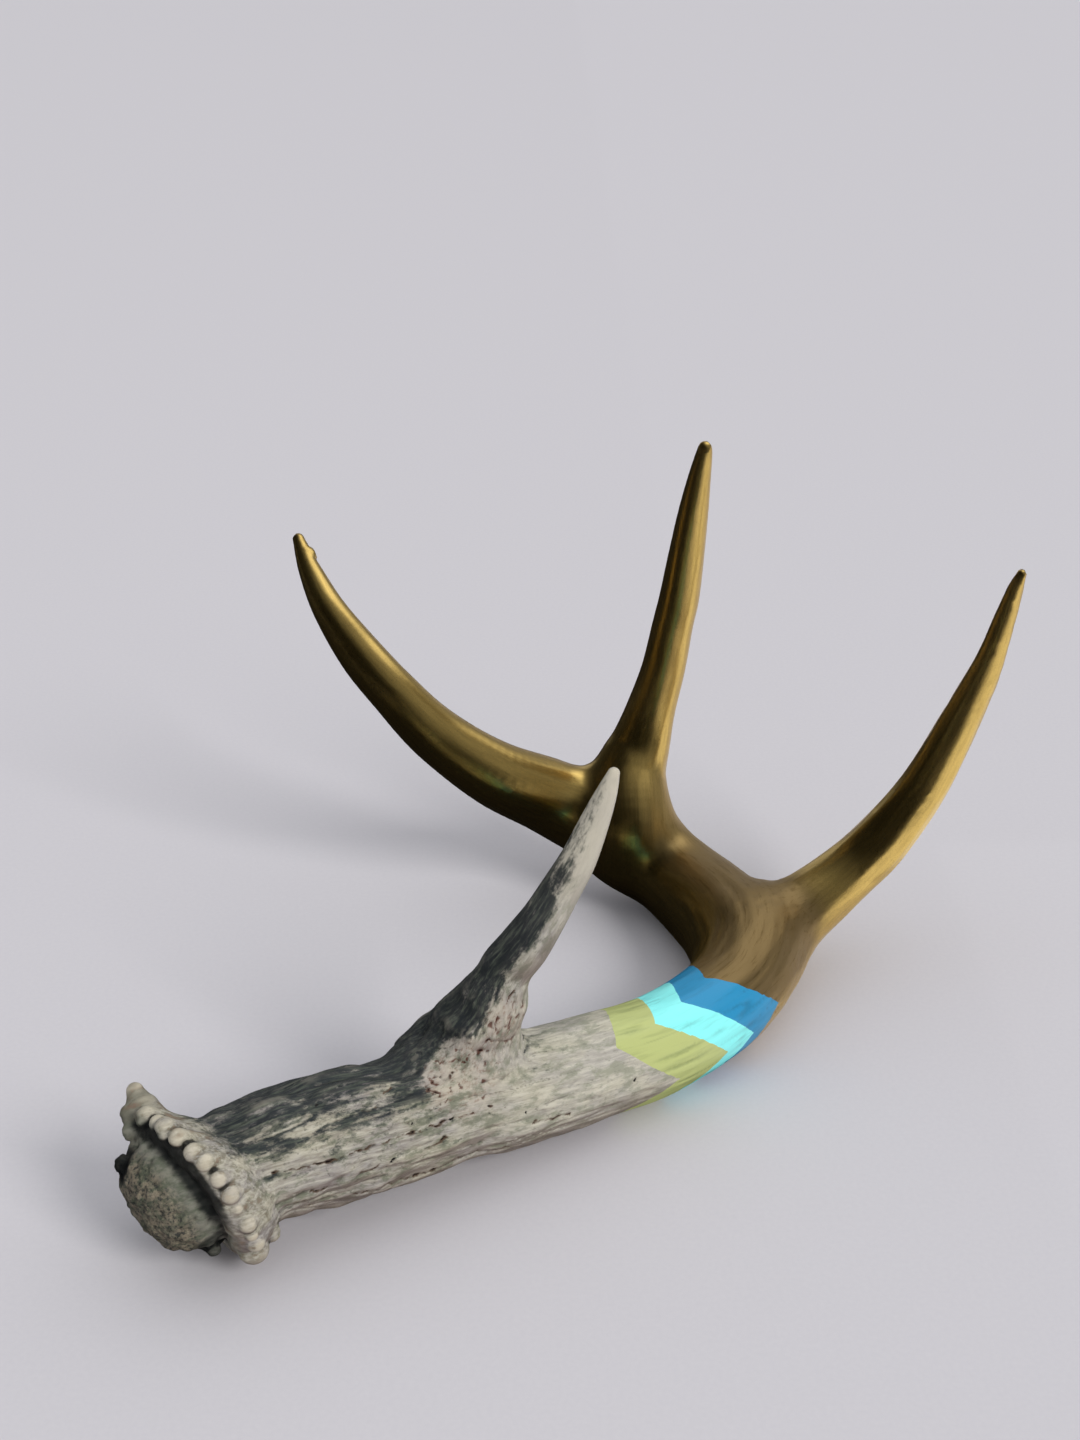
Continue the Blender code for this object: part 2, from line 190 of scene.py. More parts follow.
BEAD_FOOT = (16.8, 8)  # millimetres out from the beam's core and along it, where a bead ends
BEAD_FOOT_RADIUS = 2.3 * MM
HORN_GAP = 0.30  # radians on either side of the horn that have no bead
BURR_WEB = 4 * MM
BEAD_WEB = 0.7 * MM
TIP_KNOB = ((-104.7, 120.7, 135.2), 2.2)  # small knob beside the beam's tip
KNOB_WEB = 2 * MM

SEAL_RADIUS = 18.2 * MM
SEAL_LENGTH = 20.5 * MM
SEAL_EDGE = 7.5 * MM
SEAL_DOME = 60 * MM
SEAL_SHIFT = 2 * MM  # its middle lies this far off the ring's, towards the horn
SEAL_WEB = 2.5 * MM

HORN = [(19, -2.5, 0, 7), (26, -1.5, 0, 5.2), (31.8, 0, 0, 2.6)]  # out, along, near side, radius
LOBES = [
    (26.5, -4.5, 1, 3.5), (23.0, -7.0, 2, 3.2), (17.3, -15.5, 3, 2.3),
    (-24.5, 0, 2, 4.6), (-23.5, 7.0, 2, 3.6), (-17.3, -8.0, -3, 2.5),
]


def burr_frame():
    """The ring's three directions: out to the horn, along the axis, and to the near side."""
    top = (BURR_TOP - BURR_AXIS * BURR_TOP.dot(BURR_AXIS)).normalized()
    return top, BURR_AXIS, BURR_AXIS.cross(top)


def burr_point(out, along, near):
    """A point given in millimetres in the burr's own directions, in metres."""
    top, axis, side = burr_frame()
    return BURR_CENTRE + (top * out + axis * along + side * near) * MM


def beam_lean():
    """How far the beam's core moves sideways for each metre along the burr's axis."""
    way = Vector(LINES["beam"][STEPS, :3] - LINES["beam"][0, :3])
    return way / way.dot(BURR_AXIS) - BURR_AXIS


def beads():
    """Core line of each bead, from the ring's edge on to the beam, each a little off its even place."""
    top, axis, side = burr_frame()
    for i in range(BEADS):
        angle = 2 * math.pi * (i + BEAD_SWAY * math.sin(2.4 * i)) / BEADS
        if math.cos(angle) > math.cos(HORN_GAP):
            continue
        way = top * math.cos(angle) + side * math.sin(angle)
        calm = max(math.cos(angle - CALM_ANGLE), 0)
        out = BEAD_CIRCLE + BEAD_JITTER * math.sin(1.7 * i)
        along = BEAD_JITTER * math.sin(3.1 * i) - BURR_DROOP * max(math.cos(angle), 0)
        radius = BEAD_RADIUS + BEAD_JITTER * (math.cos(2.9 * i) - calm)
        edge = BURR_CENTRE + way * out + axis * along
        foot = BURR_CENTRE + way * BEAD_FOOT[0] * MM + axis * along
        foot += (axis + beam_lean()) * BEAD_FOOT[1] * MM
        yield np.array([(*edge, radius), (*foot, BEAD_FOOT_RADIUS)])


HORN_LINE = np.array([(*burr_point(*row[:3]), row[3] * MM) for row in HORN])
BEAD_LINES = list(beads())
BALLS = [(burr_point(*row[:3]), row[3] * MM) for row in LOBES]
print(f"{len(BEAD_LINES)} beads and {len(BALLS)} lobes on the burr")

# %% [markdown]
# ## One smooth skin from distances
# Where two branches meet, the real antler has a wide smooth web, not an edge. A Boolean union and a bevel
# could stand for it, but bevels fail on such a crease. Here the skin is the set of points at distance nought
# from all the forms, where two distances near each other are blended. The blend is the web.

# %% Distance from any point to the skin


def row_gaps(points, rows):
    """Distance from every point to every row of a core line, in a light number format."""
    here, there = points.astype(np.float32), rows[:, :3].astype(np.float32)
    square = (here**2).sum(axis=1)[:, None] - 2 * here @ there.T + (there**2).sum(axis=1)
    return np.sqrt(np.maximum(square, 0))


def distance_to_line(points, rows):
    """Distance from each point to the round skin about a core line.

    Only the two pieces of line beside the row with the nearest skin are measured, to be quick.
    """
    index = np.argmin(row_gaps(points, rows) - rows[:, 3].astype(np.float32), axis=1)
    nearest = np.full(len(points), np.inf)
    for first in (np.maximum(index - 1, 0), np.minimum(index, len(rows) - 2)):
        start, end = rows[first], rows[first + 1]
        way = end[:, :3] - start[:, :3]
        offset = points - start[:, :3]
        along = np.clip((offset * way).sum(axis=1) / (way**2).sum(axis=1), 0, 1)
        radius = start[:, 3] + along * (end[:, 3] - start[:, 3])
        gap = np.linalg.norm(offset - along[:, None] * way, axis=1) - radius
        nearest = np.minimum(nearest, gap)
    return nearest


def distance_to_ball(points, centre, radius):
    return np.linalg.norm(points - np.array(centre), axis=1) - radius


def distance_to_ring(points, radius, rise, thickness):
    """Distance to a plain ring about the burr's axis, thicker on its calm side."""
    top, axis, side = (np.array(way) for way in burr_frame())
    offset = points - np.array(BURR_CENTRE + beam_lean() * rise)
    along = offset @ axis - rise
    out = np.linalg.norm(offset - (offset @ axis)[:, None] * axis, axis=1)
    droop = BURR_DROOP * np.clip(offset @ top / BURR_RADIUS, 0, 1)
    calm = offset @ (top * math.cos(CALM_ANGLE) + side * math.sin(CALM_ANGLE)) / BURR_RADIUS
    return np.hypot(out - radius, along + droop) - thickness - CALM_SWELL * np.clip(calm, 0, 1)


def distance_to_seal(points):
    """Distance to the pedicle seal, a stub with a rounded edge and a domed end."""
    offset = points - np.array(BURR_CENTRE + burr_frame()[0] * SEAL_SHIFT)
    along = -(offset @ AXIS)
    out = np.linalg.norm(offset + along[:, None] * AXIS, axis=1)
    past_side = out - (SEAL_RADIUS - SEAL_EDGE)
    past_end = np.maximum(along + out**2 / SEAL_DOME - (SEAL_LENGTH - SEAL_EDGE), -along)
    inside = np.minimum(np.maximum(past_side, past_end), 0)
    return inside + np.hypot(np.maximum(past_side, 0), np.maximum(past_end, 0)) - SEAL_EDGE


def merged(first, second, web):
    """Distance to two skins run together, with a web of the given width between them."""
    share = np.clip(0.5 + 0.5 * (second - first) / web, 0, 1)
    return second * (1 - share) + first * share - web * share * (1 - share)


# %% The whole antler's skin
FORK_WEB = 11 * MM  # how widely the skin webs across the crotch of a fork
BURR_REACH = 55 * MM  # further out than this, nothing of the burr is felt


def skin_distance(points):
    """Distance from each point to the smooth skin of the whole antler."""
    skin = distance_to_line(points, LINES["beam"])
    for name in TINES:
        skin = merged(skin, distance_to_line(points, LINES[name]), FORK_WEB)
    near = np.linalg.norm(points - CENTRE, axis=1) < BURR_REACH
    foot, part = points[near], skin[near]
    part = merged(part, distance_to_ring(foot, COLLAR_RADIUS, COLLAR_RISE, COLLAR_THICKNESS), BURR_WEB)
    part = merged(part, distance_to_ring(foot, BURR_RADIUS, 0, BURR_THICKNESS), BURR_WEB)
    part = merged(part, distance_to_seal(foot), SEAL_WEB)
    part = merged(part, distance_to_line(foot, HORN_LINE), SEAL_WEB)
    for rows in BEAD_LINES:
        part = merged(part, distance_to_line(foot, rows), BEAD_WEB)
    for centre, radius in BALLS:
        part = merged(part, distance_to_ball(foot, centre, radius), BEAD_WEB)
    skin[near] = part
    knob = distance_to_ball(points, np.array(TIP_KNOB[0]) * MM, TIP_KNOB[1] * MM)
    return merged(skin, knob, KNOB_WEB)


middle = np.array([along_line("beam", 180 * MM)[0]])
print(f"the beam's core lies {-skin_distance(middle)[0] / MM:.1f} mm under its skin in the bend")

# %% [markdown]
# ## A rough blank, remeshed
# The smooth skin needs an even net of faces to lie on. It could be grown from the distances alone, but
# Blender's own tools are quicker: a tube about each core line, a few plain bodies at the burr, and a voxel
# remesh that turns the heap into one closed net of even squares.

# %% The heap of plain bodies


def tube(name, rows):
    """A closed round tube about a core line, made from a curve and turned into a mesh."""
    curve = bpy.data.curves.new(name, "CURVE")
    curve.dimensions = "3D"
    curve.bevel_depth = 1
    curve.bevel_resolution = 5
    curve.use_fill_caps = True
    spline = curve.splines.new("POLY")
    spline.points.add(len(rows) - 1)
    for point, (x, y, z, radius) in zip(spline.points, rows):
        point.co = (x, y, z, 1)
        point.radius = radius
    return finished_mesh(new_object(name, curve))


def finished_mesh(thing):
    """The mesh of an object with its modifiers, after which the object is removed."""
    bpy.context.view_layer.update()
    evaluated = thing.evaluated_get(bpy.context.evaluated_depsgraph_get())
    mesh = bpy.data.meshes.new_from_object(evaluated)
    bpy.data.objects.remove(thing)
    return mesh


def heap():
    """Tubes, seal, ring, the flare over it and beads in one mesh, still overlapping."""
    rough = bmesh.new()
    ends = []
    for name, rows in (*LINES.items(), ("horn", HORN_LINE)):
        rough.from_mesh(tube(name, rows))
        ends.append((Vector(rows[-1, :3]), rows[-1, 3]))
    turn = BURR_AXIS.to_track_quat("Z", "Y").to_matrix().to_4x4()
    lean = turn.copy()
    lean.col[2] = (*(BURR_AXIS + beam_lean()), 0)
    flare_height = BEAD_FOOT[1] * MM
    for sides, low, high, height, middle, way in (
        (48, SEAL_RADIUS, SEAL_RADIUS, SEAL_LENGTH, -BURR_AXIS * (SEAL_LENGTH / 2), turn),
        (64, BEAD_CIRCLE, BEAD_CIRCLE, BURR_THICKNESS, Vector(), turn),
        (64, BEAD_CIRCLE, BEAD_FOOT[0] * MM, flare_height, lean.col[2].xyz * (flare_height / 2), lean),
    ):
        place = Matrix.Translation(BURR_CENTRE + middle) @ way
        bmesh.ops.create_cone(rough, cap_ends=True, segments=sides, radius1=low, radius2=high,
                              depth=height, matrix=place)
    top, axis, side = burr_frame()
    for i in range(2 * BEADS):
        angle = math.pi * i / BEADS
        along = -BURR_DROOP * max(math.cos(angle), 0)
        way = top * math.cos(angle) + side * math.sin(angle)
        ends.append((BURR_CENTRE + way * BURR_RADIUS + axis * along, BURR_THICKNESS))
    for rows in BEAD_LINES:
        ends += [(Vector(row[:3]), row[3]) for row in (rows[0], rows.mean(axis=0), rows[1])]
    for centre, radius in BALLS + ends:
        bmesh.ops.create_icosphere(rough, subdivisions=2, radius=radius,
                                   matrix=Matrix.Translation(centre))
    mesh = bpy.data.meshes.new("heap")
    rough.to_mesh(mesh)
    rough.free()
    return mesh


# %% The voxel remesh
VOXEL = 1.3 * MM

thing = new_object("antler", heap())
remesh = thing.modifiers.new("remesh", "REMESH")
remesh.mode = "VOXEL"
remesh.voxel_size = VOXEL
skin = finished_mesh(thing)
print("faces after the remesh:", len(skin.polygons))

# %% Drop any pocket that is closed up inside


def bodies_of(net):
    """The connected bodies of a bmesh, each as a list of vertices, the largest first."""
    unseen = set(net.verts)
    bodies = []
    while unseen:
        body = []
        edge = [unseen.pop()]
        while edge:
            vertex = edge.pop()
            body.append(vertex)
            for spoke in vertex.link_edges:
                other = spoke.other_vert(vertex)
                if other in unseen:
                    unseen.remove(other)
                    edge.append(other)
        bodies.append(body)
    return sorted(bodies, key=len, reverse=True)


net = bmesh.new()
net.from_mesh(skin)
pockets = [vertex for body in bodies_of(net)[1:] for vertex in body]
bmesh.ops.delete(net, geom=pockets, context="VERTS")
net.to_mesh(skin)
net.free()
print("points in closed pockets, now gone:", len(pockets))

# %% [markdown]
# ## Press the net on to the skin
# A remesh leaves small steps. Smoothing alone would shrink the tips and wash out the beads. Instead each
# point goes down the slope of the distance until it lies on the skin, with one relaxing in between, so that
# the faces stay even.

# %% Move the points down the slope
PROBE = 0.05 * MM  # step over which the skin's slope is measured
LEAST_STEEP = 0.25  # a slope flatter than this is not trusted


def read_vectors(items, field):
    values = np.empty(len(items) * 3)
    items.foreach_get(field, values)
    return values.reshape(-1, 3)


def place_points(mesh, points):
    mesh.vertices.foreach_set("co", points.ravel())
    mesh.update()


def press_to_skin(mesh, rounds):
    """Move every vertex the shortest way on to the smooth skin."""
    for _ in range(rounds):
        points = read_vectors(mesh.vertices, "co")
        distance = skin_distance(points)
        slope = np.empty_like(points)
        for axis in range(3):
            probe = points.copy()
            probe[:, axis] += PROBE
            slope[:, axis] = (skin_distance(probe) - distance) / PROBE
        steepness = np.maximum((slope**2).sum(axis=1), LEAST_STEEP)
        step = np.clip(distance / steepness, -VOXEL, VOXEL)
        place_points(mesh, points - slope * step[:, None])
    return np.abs(distance).max()


def edge_ends(mesh):
    ends = np.empty(len(mesh.edges) * 2, np.int32)
    mesh.edges.foreach_get("vertices", ends)
    return ends.reshape(-1, 2)


def neighbour_mean(values, ends):
    """Mean of a value, or of a row of values, over each vertex's neighbours."""
    total = np.zeros_like(values)
    count = np.zeros(len(values))
    for here, there in ((0, 1), (1, 0)):
        np.add.at(total, ends[:, here], values[ends[:, there]])
        np.add.at(count, ends[:, here], 1)
    return total / np.maximum(count, 1).reshape(-1, *[1] * (values.ndim - 1))


def relaxed(values, ends, rounds=1):
    """Values drawn half-way to their neighbours' mean, once or more."""
    for _ in range(rounds):
        values = (values + neighbour_mean(values, ends)) / 2
    return values


press_to_skin(skin, 4)
place_points(skin, relaxed(read_vectors(skin.vertices, "co"), edge_ends(skin)))
print(f"furthest off the skin: {press_to_skin(skin, 3) / MM:.3f} mm")

# %% [markdown]
# ## A finer net where the bone is bare
# The bare bone has cracks, pits and pearls finer than a millimetre, and the gold has none. So only the bare
# part is divided again. Doing it everywhere would make the file heavy for nothing.

# %% Divide the bare part once more
BARE_LENGTH = 160 * MM  # of the beam, from the burr


def line_place(points, name):
    """Where each point lies beside a core line: up-side, near-side and length along it."""
    rows, (lengths, along, up, near) = LINES[name], FRAMES[name]
    index = np.argmin(row_gaps(points, rows), axis=1)
    offset = points - rows[index, :3]
    ahead = (offset * along[index]).sum(axis=1)
    place = [(offset * up[index]).sum(axis=1), (offset * near[index]).sum(axis=1)]
    return np.stack([*place, lengths[index] + ahead], axis=1)


def nearness(points):
    """How much of each point belongs to each branch, the beam first, adding up to one."""
    gaps = [distance_to_line(points, LINES[name]) for name in ("beam", *TINES)]
    gaps = np.array(gaps)
    weights = np.exp(-(gaps - gaps.min(axis=0)) / (FORK_WEB / 3))
    return weights / weights.sum(axis=0)


net = bmesh.new()
net.from_mesh(skin)
points = read_vectors(skin.vertices, "co")
shares = nearness(points)
bare = (line_place(points, "beam")[:, 2] < BARE_LENGTH) & (shares[0] + shares[1] > 0.9)
bare &= points[:, 0] < 0.5 * BARE_LENGTH
net.verts.ensure_lookup_table()
edges = [edge for edge in net.edges if bare[edge.verts[0].index] and bare[edge.verts[1].index]]
bmesh.ops.subdivide_edges(net, edges=edges, cuts=1, use_grid_fill=True)
net.to_mesh(skin)
net.free()
print(f"furthest off the skin: {press_to_skin(skin, 2) / MM:.3f} mm, with {len(skin.polygons)} faces")

# %% [markdown]
# ## Grain places for relief and colour
# Antler is grooved along each branch, so every pattern needs to know how far along the branch it is and on
# which side. Each point keeps its place beside the beam and its place beside its tine, with the share of
# each. Near a fork the two blend, and no seam shows.

# %% Place of each point beside its branch
points = read_vectors(skin.vertices, "co")
shares = nearness(points)
beam_place = line_place(points, "beam")
tine_places = {name: line_place(points, name) for name in TINES}
tine_number = np.argmax(shares[1:], axis=0)
tine_place = np.choose(tine_number[:, None], [tine_places[name] for name in TINES])
tine_share = 1 - shares[0]
print(f"{(tine_share > 0.5).mean():.0%} of the points belong to a tine")

# %% [markdown]
# ## Relief of the bone
# The bare beam has pearls, which are low bumps drawn out along it, thin grooves where blood vessels lay, and
# rough grain on the seal. A displace modifier with a texture could raise them, but it doesn't know which way
# the branch runs. Here each height comes from noise that is stretched along the branch's own place.

# %% Heights of pearls, grooves and grain
PEARL_HEIGHT = 1.6 * MM
PEARL_WIDTH = 7 * MM
PEARL_STRETCH = 2.6  # how many times longer than wide along the beam
PEARL_LENGTH = 150 * MM
FADE_LENGTH = 60 * MM
SMOOTH_HEIGHT = 20 * MM  # above the burr's middle the brow tine soon grows smooth
GRAIN_WAY = Vector((0.86, 0.51, -0.05)).normalized()
SEAL_GRAIN = 0.9 * MM
GRAIN_SIZE = 3.2 * MM
FINE_GRAIN = 0.4 * MM
SMALL_PEARLS = 0.4 * MM  # and as much again close to the burr
RIB_HEIGHT = 0.16 * MM
PAINTED_RIBS = 0.2 * MM  # what the ribs gain under the paint
GROOVE_DEPTH = 0.38 * MM
STROKE_DEPTH = 0.22 * MM  # of the marks that the brush left in the bands


def bone_relief(point):
    """Height of the large pearls on the beam and of the seal's coarse grain."""
    offset = point - BURR_CENTRE
    if offset.dot(BURR_AXIS) < -BURR_THICKNESS:
        return SEAL_GRAIN * noise.noise(point / GRAIN_SIZE)
    reach = offset.length + max(offset.z - SMOOTH_HEIGHT, 0)
    fade = min(max((PEARL_LENGTH - reach) / FADE_LENGTH, 0), 1)
    along = GRAIN_WAY * point.dot(GRAIN_WAY)
    where = (point - along + along / PEARL_STRETCH) / PEARL_WIDTH
    return PEARL_HEIGHT * fade * noise.noise(where)


def plain_noise(points, width):
    """Noise from -1 to 1 with cells of the given width."""
    return np.array([noise.noise(Vector(point) / width) for point in points])


def stretched_noise(place, width, stretch, shift=0):
    """The same noise drawn out along the branch."""
    size = np.array([width, width, width * stretch])
    return plain_noise(place / size + shift, 1)


def branch_noise(width, stretch, shift=0):
    """The same noise beside the beam and beside the tine, blended by their shares."""
    beam = stretched_noise(beam_place, width, stretch, shift)
    tine = stretched_noise(tine_place, width, stretch, shift + 7)
    return beam * (1 - tine_share) + tine * tine_share


def ramp(values, low, high):
    """Nought below the first value, one above the second, with soft ends."""
    t = np.clip((values - low) / (high - low), 0, 1)
    return t * t * (3 - 2 * t)


def span(distance, low, high):
    """The same ramp over a distance, with its two ends given in millimetres."""
    return ramp(distance, low * MM, high * MM)


def thin_lines(values, width):
    """One where noise passes through nought, which draws fine lines, and nought off them."""
    return ramp(-np.abs(values), -width, 0)


beam_length = beam_place[:, 2]
burr_height = (points - CENTRE) @ AXIS
on_seal = span(-burr_height, 3, 6)
bareness = span(-beam_length, -150, -110) * (shares[0] + shares[1]) * (1 - on_seal)
tine_rise = tine_places["brow_tine"][:, 2] * shares[1]
off_burr = span(burr_height, 3, 12)
roughness = bareness * (1 - span(tine_rise, 25, 60)) * off_burr

coarse = np.array([bone_relief(Vector(point)) for point in points]) * np.maximum(off_burr, on_seal)
near_burr = span(-beam_length, -80, -20)
medium = branch_noise(3.4 * MM, 2.2) * SMALL_PEARLS * (1 + near_burr) * roughness
grooves = -thin_lines(branch_noise(3.6 * MM, 14, 3), 0.10) * GROOVE_DEPTH * roughness
stroke = thin_lines(branch_noise(3.0 * MM, 16, 41), 0.12) * ramp(branch_noise(6 * MM, 2, 51), -0.15, 0.2)
painted = span(beam_length, 120, 150) * span(-beam_length, -300, -220)
ribs = branch_noise(2.8 * MM, 8, 11) * (RIB_HEIGHT + PAINTED_RIBS * painted) * off_burr
ribs -= stroke * STROKE_DEPTH * painted
grain = plain_noise(points, 1.5 * MM) * FINE_GRAIN * on_seal
print(f"pearls reach {coarse.max() / MM:.2f} mm, grooves {-grooves.min() / MM:.2f} mm deep")

# %% [markdown]
# ## Cracks and pits
# Drying has opened the bare bone along its grain, and below the brow tine it is cracked like coral. Cracks
# drawn by a texture alone would stay flat. Each crack here is a short path over the skin, given by its length
# along the beam and its angle round it, and the points near it sink.

# %% Paths of the cracks: millimetres along the beam and degrees round it from the top
CRACKS = [
    ((9, 64), (19, 70), (33, 72), (46, 70), (58, 67), (66, 68), (72, 67), (78, 66)),
    ((20, 124), (36, 122), (51, 118), (64, 124), (77, 119), (88, 123), (97, 121)),
    ((99, 92), (106, 95), (113, 97)),
    ((82, 63), (86, 63), (87, 57)),
    ((68, 22), (69, 27), (66, 34), (69, 39), (72, 38)),
    ((53, 24), (56, 21)),
    ((45, 36), (48, 39), (50, 36)),
    ((40, 92), (44, 93), (47, 90)),
    ((62, 88), (66, 86), (69, 83)),
    ((24, 98), (30, 100), (33, 97)),
    ((92, 112), (98, 108), (104, 110)),
    ((14, 105), (19, 108), (22, 106)),
]
PITS = [  # along, angle, radius
    (69, 67, 1.5), (71, 66, 1.1), (59, 59, 0.7), (34, 94, 0.7), (52, 89, 1.2), (47, 87, 0.8),
    (42, 8, 1.4), (84, 63, 1.0), (85, 73, 0.8), (90, 69, 0.8),
    (57, 45, 0.6), (30, 84, 0.6), (32, 18, 1.1), (103, 66, 0.6), (97, 80, 0.6), (137, 81, 0.9),
]
BURR_PITS = [(-21.5, 4.5, 9, 2.2), (-14, 6, 19, 1.1)]  # out, along, near side, radius
TINE_CRACKS = [  # in space, on the near face of the brow tine's root
    ((-51, -73, 44), (-46, -72, 46), (-43.5, -72, 45), (-41, -71, 48), (-36.5, -70.5, 47.5)),
    ((-37.5, -71, 51), (-36, -71, 52), (-32, -69, 50)),
    ((-34, -70.5, 55), (-33.5, -70.5, 60)),
    ((-30.5, -69, 54), (-29.5, -68.5, 58), (-28.5, -68.5, 65)),
    ((-31, -69, 61), (-30, -69, 66), (-25, -65.5, 69)),
    ((-27, -67, 52), (-26, -66, 58)),
]
CRACK_WIDTH = 0.38 * MM
CRACK_DEPTH = 0.7 * MM
PIT_DEPTH = 0.8 * MM
WANDER = 0.9 * MM  # how far a crack or a pit's rim strays from its drawn line
PIT_SLIM = 0.45  # how much less a pit feels distance along the grain than across it


def on_beam(length, degrees):
    """The point of the beam's skin at a length along it and an angle round it from the top."""
    rows, (lengths, _, up, near) = LINES["beam"], FRAMES["beam"]
    place, up, near = (np.array([np.interp(length * MM, lengths, column) for column in table.T])
                       for table in (rows, up, near))
    angle = math.radians(degrees)
    return place[:3] + (up * math.cos(angle) + near * math.sin(angle)) * place[3]


def distance_to_path(where, path):
    """Distance from each point to a path of straight pieces."""
    nearest = np.full(len(where), np.inf)
    for start, end in zip(path, path[1:]):
        way = end - start
        along = np.clip((where - start) @ way / way.dot(way), 0, 1)
        nearest = np.minimum(nearest, np.linalg.norm(where - start - along[:, None] * way, axis=1))
    return nearest


paths = [[on_beam(*mark) for mark in crack] for crack in CRACKS]
paths += [[np.array(mark) * MM for mark in crack] for crack in TINE_CRACKS]
noise.seed_set(5)  # without a seed, vector noise would start from the clock
wander = np.array([noise.noise_vector(Vector(point) / (2.2 * MM)) for point in points]) * WANDER
crack = np.zeros(len(points))
for path in paths:
    gap = distance_to_path(points + wander, path)
    crack = np.maximum(crack, ramp(-gap, -2 * CRACK_WIDTH, 0))
crack *= 0.5 + 0.5 * ramp(plain_noise(points, 5 * MM), -0.3, 0.15)
pit = np.zeros(len(points))
hollows = [(on_beam(length, degrees), radius) for length, degrees, radius in PITS]
hollows += [(np.array(burr_point(*row[:3])), row[3]) for row in BURR_PITS]
for centre, radius in hollows:
    offset = points + 1.5 * wander - centre
    offset -= (offset @ np.array(GRAIN_WAY))[:, None] * np.array(GRAIN_WAY) * PIT_SLIM
    pit = np.maximum(pit, ramp(-np.linalg.norm(offset, axis=1), -0.8 * radius * MM, 0))
print(f"{len(paths)} cracks and {len(hollows)} pits, over {(crack + pit > 0.3).sum()} points")

# %% The coral-like patch below the brow tine
PATCHES = [((-44, -74, 42), 17, 5.95), ((-30, -69, 56), 13, 4)]  # middle, reach and full inside


def within(points, middle, reach, full):
    """One close to a place given in millimetres, fading to nought at the reach."""
    return span(-np.linalg.norm(points - np.array(middle) * MM, axis=1), -reach, -full)


patch = np.max([within(points, *row) for row in PATCHES], axis=0)
coral = plain_noise(points + 1.4 * wander, 2.0 * MM)
coral = 0.5 * ramp(coral, 0.26, 0.55) * ramp(patch, 0.15, 0.7)
seam = branch_noise(2.2 * MM, 8, 21)
fine = thin_lines(seam, 0.04) * roughness * ramp(branch_noise(9 * MM, 3, 31), 0.10, 0.35)
crack = np.maximum(crack, np.maximum(coral, 0.3 * fine))
print(f"the coral patch covers {(patch > 0.5).sum()} points")

# %% [markdown]
# ## Raise it all
# The heights are added along each point's own outward direction. What would dip under the ground is pressed
# flat, because the antler rests there, and nothing may leave the box of the solids.

# %% Heights on to the net
FLAT_SKIM = 0.25 * MM  # what lies lower than this is pressed flat for the antler to rest on

height = coarse + medium + grooves + ribs + grain - CRACK_DEPTH * (crack + 0.5 * coral) - PIT_DEPTH * pit
normals = read_vectors(skin.vertex_normals, "vector")
points = points + normals * height[:, None]
points[points[:, 2] < FLAT_SKIM, 2] = 0
low, high = (np.array(corner) for corner in cad_box)
points = np.clip(points, low, high)
place_points(skin, points)
print(f"the net measures {np.round((points.max(axis=0) - points.min(axis=0)) / MM, 1)} mm")

# %% [markdown]
# ## What the finish needs to know
# Dirt and painted shade darken the hollows; rubbing and a painted highlight make the high places bright.
# Blender can paint that by hand, but a measure is better here: how far a point lies below its neighbours.
# The dark stain of the earth on the upper side is a mask too, from the way that each point faces; on the
# beam it is partly painted shade. Painted shadow under the burr's ring, painted shade on the underside and
# painted light along the beam are kept as masks as well.

# %% Hollows, stain, painted shade and painted shadow
STAIN_WAY = np.array((-0.75, 0.20, 0.62))
DULL_WAY = np.array((0.45, 0.0, 0.89))  # near the fork, the gold that faces this way is browner and rougher
NUB = BALLS[2][0]  # a small knob on the seal, round which shade is painted
DEEP_ROUNDS = 14  # relaxing this often shows the wider hollows

ends = edge_ends(skin)
normals = read_vectors(skin.vertex_normals, "vector")
hollow = ((neighbour_mean(points, ends) - points) * normals).sum(axis=1) / MM
hollow = relaxed(hollow, ends, 3)
deep = ((relaxed(points, ends, DEEP_ROUNDS) - points) * normals).sum(axis=1) / MM
facing = normals @ (STAIN_WAY / np.linalg.norm(STAIN_WAY))
tine_stain = ramp(facing, -0.50, 0.20) * (1 - span(tine_rise, 70, 108)) * ramp(shares[1], 0.05, 0.5)
# on the beam this mask is partly earth stain and partly painted shade near the burr
beam_stain_and_shade = ramp(facing, -0.65, 0.70) * (1 - span(beam_length, 75, 130)) * span(burr_height, 2, 9)
stain_and_shade = np.maximum(0.95 * beam_stain_and_shade, tine_stain) * (1 - 0.75 * ramp(patch, 0.3, 0.8))
from_burr = points - CENTRE
out_from_axis = np.linalg.norm(np.cross(from_burr, AXIS), axis=1)
toward_horn = from_burr @ np.array(burr_frame()[0])
# painted shadow that the burr's ring casts on the seal, with painted shade round the seal's knob and under the
# lower lobe
painted_burr_shadow = span(-burr_height, 0.8, 4) * (1 - span(-burr_height, 5, 11))
painted_burr_shadow *= span(toward_horn, -24, -6) * (1 - span(out_from_axis, 24, 27.5))
nub_shade = 1 - span(np.linalg.norm(points - np.array(NUB), axis=1), 3, 9)
under = span(-toward_horn, 12, 15) * span(-burr_height, 3.5, 6)
painted_burr_shadow = np.maximum(painted_burr_shadow, np.maximum(nub_shade, 0.7 * under))
gold_tines = [tine_places[name][:, 2] * share for name, share in zip(TINES[1:], shares[2:])]
dull = (1 - span(beam_length, 260, 345)) * (1 - span(np.max(gold_tines, axis=0), 18, 36))
dull *= ramp(normals @ DULL_WAY, 0.15, 0.6)
print(f"a point lies up to {hollow.max():.2f} mm under its neighbours")
print(f"and up to {deep.max():.2f} mm under the skin about it")

